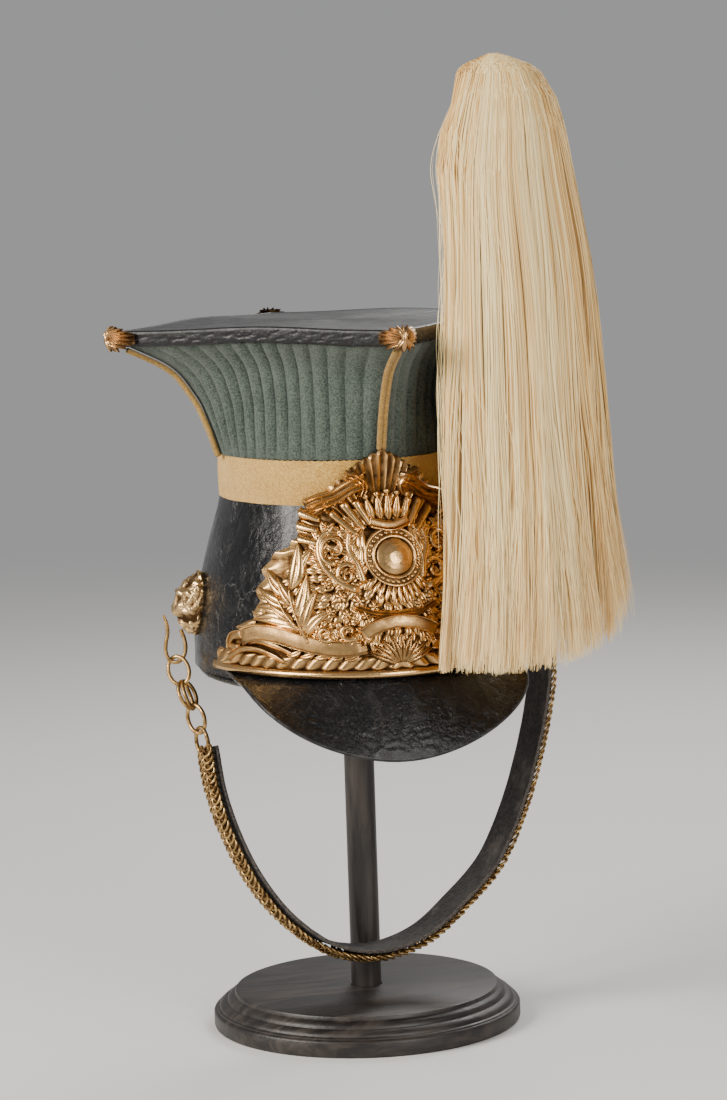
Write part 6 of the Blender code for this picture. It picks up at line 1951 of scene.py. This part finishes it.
DISC_PROFILE = (
    (0.0, 0.0), (24.6, 0.0), (25.0, 0.5), (25.0, 1.6), (24.5, 2.3), (23.0, 2.9), (21.5, 3.0), (0.0, 3.0),
)
STUD_PROFILE = (
    (0.0, 3.3), (9.0, 3.3), (9.0, 5.0), (8.6, 5.7), (7.9, 5.6), (7.5, 6.2), (6.6, 7.4), (4.4, 8.6),
    (2.2, 9.2), (0.0, 9.3),
)
braid_profile = [(9.3, 3.3), (9.3, 5.2)]
for k in range(4):
    for share in (0.0, 0.25, 0.5, 0.75):
        braid_profile.append((9.6 + 2.9 * (k + share), 4.9 + 1.1 * math.sin(math.pi * share) - 0.35 * k))
braid_profile += [(21.4, 4.2), (21.5, 3.3), (9.3, 3.3)]
rosette_piece("rosette_leather", DISC_PROFILE, 96, skull_finish, "rosette_disc")
rosette_piece("rosette_lace", braid_profile, 120, lace_finish, "rosette_braid", 40, 0.25)
rosette_piece("rosette_stud", STUD_PROFILE, 64, wire_finish, "rosette_button")

# %% Plume socket
SOCKET_ROWS = 16
SOCKET_RADIUS = 2.4 * MM
axis_foot = np.array((CAP_X, CAP_Y, 0.0))
socket_low, socket_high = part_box("plume_socket")
socket_start = rosette_seat + rosette_face * 9.6 * MM
socket_reach = np.dot(np.array((socket_high.x, socket_low.y, 0.0)) - axis_foot, plume_out) - 1.9 * MM
socket_end = axis_foot + plume_out * socket_reach
socket_end[2] = socket_start[2]
socket_share = np.linspace(0.0, 1.0, SOCKET_ROWS)
socket_path = socket_start + (socket_end - socket_start) * socket_share[:, None]
socket_radii = SOCKET_RADIUS * np.interp(socket_share, (0.0, 0.1, 0.2, 1.0), (1.0, 1.0, 0.86, 0.86))
socket_mesh = tube_mesh("socket_rod", socket_path, socket_radii, 24, (0.0, 0.0, 1.0))
new_piece("socket_rod", socket_mesh, wire_finish, ("plume_socket",), sharp=50)

# %% [markdown]
# ## The plume
#
# The plume is swan-white horsehair that is tied at the top, folded over and falls all round its stem.
# A plain core fills the inside. Over it lie thousands of thin strands: each starts near the crown,
# keeps its own direction round the stem and its own depth, drifts towards the middle of its lock and
# ends at its own height, a little higher on the outer side, where the hair hangs over the lion mask. A
# strand is a ribbon two points wide that faces outwards.

# %% Hair finish
hair_finish, tree, shader, where = new_finish(
    "cream_horsehair", Roughness=0.50, Specular_IOR_Level=0.24, Sheen_Weight=0.05, Sheen_Roughness=0.4
)
tone, along_hair = mark_of(tree, "tone"), mark_of(tree, "along")
fresh = mixed(tree, ranged(tree, tone, 0.35, 0.85), (0.90, 0.57, 0.19), (1.0, 0.80, 0.41))
cream = mixed(tree, ranged(tree, tone, 0.0, 0.35), (0.56, 0.33, 0.13), fresh)
faded = mixed(tree, ranged(tree, along_hair, 0.75, 1.0, 0.0, 0.30), cream, (0.94, 0.70, 0.36))
drawn_out = add_node(tree, "ShaderNodeMapping", {"Vector": where, "Scale": (1.0, 1.0, 0.02)}).outputs[0]
feed(tree, shader, Base_Color=faded, Normal=bump(tree, noise(tree, drawn_out, 1800.0, 2.0), 0.0003, 0.4))

# %% Form of the plume
PLUME_ROWS = (
    (0.0, 0.075, 1.00, 1.00), (0.07, 0.09, 0.98, 0.93), (0.24, 0.15, 0.91, 0.82), (0.41, 0.17, 0.85, 0.79),
    (0.52, 0.17, 0.81, 0.74), (0.65, 0.18, 0.75, 0.67), (0.76, 0.23, 0.66, 0.62), (0.82, 0.30, 0.61, 0.58),
    (0.88, 0.29, 0.55, 0.50), (0.94, 0.19, 0.44, 0.38), (0.985, 0.18, 0.24, 0.20), (1.0, 0.02, 0.05, 0.04),
)
plume_table = np.array(PLUME_ROWS)
PLUME_INNER = dense_curve(plume_table[:, (0, 1)])
PLUME_OUTER = dense_curve(plume_table[:, (0, 2)])
PLUME_ACROSS = dense_curve(plume_table[:, (0, 3)])
PLUME_FOOT = RIM + 10.0 * MM
PLUME_LONG = 323.0 * MM
PLUME_DEEP, PLUME_WIDE = 71.0 * MM, 68.0 * MM
STEM_REACH = math.sqrt(0.5) * BOARD_REACH + 16.7 * MM
LOCKS = 31


def plume_spot(turn, height, size):
    """Places in the hair: turn 0 looks outwards, height is a share from foot to top, size from 0 to 1."""
    cosine, sine = np.cos(turn), np.sin(turn)
    outer = np.interp(height, *PLUME_OUTER) * PLUME_DEEP * np.maximum(cosine, 0.0)
    inner = np.interp(height, *PLUME_INNER) * PLUME_DEEP * np.maximum(-cosine, 0.0) ** 0.45
    across = np.interp(height, *PLUME_ACROSS) * PLUME_WIDE * np.sign(sine) * np.abs(sine) ** 0.86
    low = smooth_share((1.0 - height) * 5.0)
    size = size * (1.0 - 0.075 * low * np.maximum(np.cos(turn - 0.8), 0.0) ** 2)
    across = across * (1.0 + 0.13 * low * smooth_share(-1.2 * sine))
    reach = STEM_REACH + (outer - inner) * size
    flat = reach[..., None] * plume_out + (across * size)[..., None] * plume_side
    z = PLUME_FOOT + height * PLUME_LONG
    return flat + np.stack((CAP_X + 0.0 * z, CAP_Y + 0.0 * z, z), axis=-1)


def core_place(u, v):
    turn = u * math.tau
    height = 0.09 + v * 0.905
    return plume_spot(turn, height, 0.90 + 0.02 * np.sin(LOCKS * turn))


core_mesh = faced_out(capped(shaped_mesh("plume_core", 104, 80, core_place, closed=True)))
for key, value in (("tone", 0.62), ("along", 0.4)):
    keep_mark(core_mesh, key, np.full(len(core_mesh.vertices), value))
new_piece("plume_core", core_mesh, hair_finish, ("plume",))

# %% Strands
random_source = np.random.default_rng(7)
STRAND_ROWS = 15
LOCK_PULL = 0.38
strand_share = np.linspace(0.0, 1.0, STRAND_ROWS)[None, :]
LOCK_SHIFTS = random_source.uniform(-0.35, 0.35, LOCKS + 1)
LOCK_TONES = random_source.uniform(-0.16, 0.12, LOCKS + 1)
LOCK_WAVES = random_source.uniform(3.0, 8.0, LOCKS + 1)
LOCK_PHASES = random_source.uniform(0.0, math.tau, LOCKS + 1)


def strand_ribbons(count, low_size, high_size, half_width, wander):
    """Ribbons of hair as points (strand, row, 2, 3), with their tone."""
    t = strand_share
    turn = random_source.uniform(-math.pi, math.pi, count)
    size = random_source.uniform(low_size, high_size, count)
    number = np.rint(turn / math.tau * LOCKS).astype(int)
    bands = 0.10 * np.sin(turn * 9.0 + 1.0) + LOCK_TONES[number]
    tone = np.clip(random_source.beta(3.2, 1.5, count) + bands, 0.0, 1.0)
    end = random_source.uniform(0.0, 1.0, count) ** 1.3
    rise = 28.0 * smooth_share((turn + 1.05) / 1.9) * (1.0 - smooth_share((turn - 1.3) / 1.6))
    foot = (rise + (15.0 + 0.35 * rise) * end - 2.0) * MM / PLUME_LONG
    top = 1.0 - 0.035 * random_source.uniform(0.0, 1.0, count)
    height = top[:, None] + (foot - top)[:, None] * (t**1.12)
    lock = (number + LOCK_SHIFTS[number]) / LOCKS * math.tau
    pull = LOCK_PULL * t**0.8 * random_source.uniform(0.2, 1.0, count)[:, None]
    turn = turn[:, None]
    path_turn = turn + (lock[:, None] - turn) * pull
    swings = random_source.uniform(2.0, 7.0, count)[:, None]
    path_turn = path_turn + wander * np.sin(t * swings + turn * 5.0) * t
    splay = random_source.normal(0.0, 0.045, count)[:, None] * smooth_share((t - 0.6) / 0.4)
    flick = np.abs(random_source.normal(0.0, 0.035, count))[:, None] * smooth_share((t - 0.72) / 0.28) ** 2
    lock_wave = np.sin(LOCK_PHASES[number][:, None] + LOCK_WAVES[number][:, None] * t)
    path_turn = path_turn + 0.042 * lock_wave * smooth_share(t * 2.0) + splay
    lane = size[:, None] + 0.012 * lock_wave + 0.02 * np.cos(LOCKS * path_turn) * t
    lane = lane + 0.010 * np.sin(t * 9.0 + 7.0 * turn) + flick
    path = plume_spot(path_turn, np.clip(height, 0.0, 1.0), lane)
    path[..., 2] += np.minimum(height, 0.0) * PLUME_LONG
    tied = smooth_share((np.abs(path_turn) - 1.5) / 0.4) * smooth_share((height - 0.72) / 0.10)
    return ribboned(path, half_width), (tone[:, None] * (1.0 - 0.62 * tied))[..., None]


def ribboned(path, half_width):
    """Two edges for every strand's path, turned to look away from the stem, with a thin end."""
    along = np.gradient(path, axis=1)
    along /= np.linalg.norm(along, axis=2)[..., None]
    away = path - (np.array((CAP_X, CAP_Y, 0.0)) + plume_out * STEM_REACH)
    away[..., 2] = 0.0
    away += 1e-5 * plume_out
    lean = random_source.uniform(-0.5, 0.5, len(path))[:, None, None]
    side = np.cross(along, away / np.linalg.norm(away, axis=2)[..., None])
    side = side + lean * np.cross(side, along)
    side /= np.maximum(np.linalg.norm(side, axis=2)[..., None], 1e-9)
    narrow = half_width * (1.0 - 0.75 * smooth_share((strand_share - 0.72) / 0.28))[..., None]
    return np.stack((path - side * narrow, path + side * narrow), axis=2)


def new_hair(name, spots, tone):
    mesh = many_skins(name, spots, tone=tone, along=strand_share[..., None])
    new_piece(name, mesh, hair_finish)


# Each row: number of strands, least and greatest size, half-width in millimetres and how far they wander.
STRAND_LAYERS = (
    (3300, 0.90, 0.96, 0.48, 0.02), (3700, 0.94, 0.99, 0.38, 0.03), (3200, 0.96, 1.005, 0.24, 0.05),
)
for number, (count, low_size, high_size, half_width, wander) in enumerate(STRAND_LAYERS, start=1):
    spots, tone = strand_ribbons(count, low_size, high_size, half_width * MM, wander)
    new_hair("plume_hair_%d" % number, spots, tone)


# %% Stray hairs
def stray_hairs(count):
    """A few hairs that stand off the plume, mostly at its crown and along its sides."""
    outer_side = random_source.uniform(0.0, 1.0, count) < 0.5
    turn = (np.where(outer_side, 1.35, -1.75) + random_source.normal(0.0, 0.35, count))[:, None]
    start = random_source.uniform(0.35, 1.0, count)[:, None]
    long = random_source.uniform(0.10, 0.42, count)[:, None]
    t = strand_share
    height = np.clip(start - long * t, 0.03, 1.0)
    bow = random_source.uniform(0.04, 0.17, count)[:, None]
    lane = 0.98 + bow * np.sin(t * random_source.uniform(1.6, 3.1, count)[:, None])
    path = plume_spot(turn + 0.10 * np.sin(3.0 * t + turn), height, lane)
    return ribboned(path, 0.11 * MM)


new_hair("stray_hairs", stray_hairs(150), 0.75)
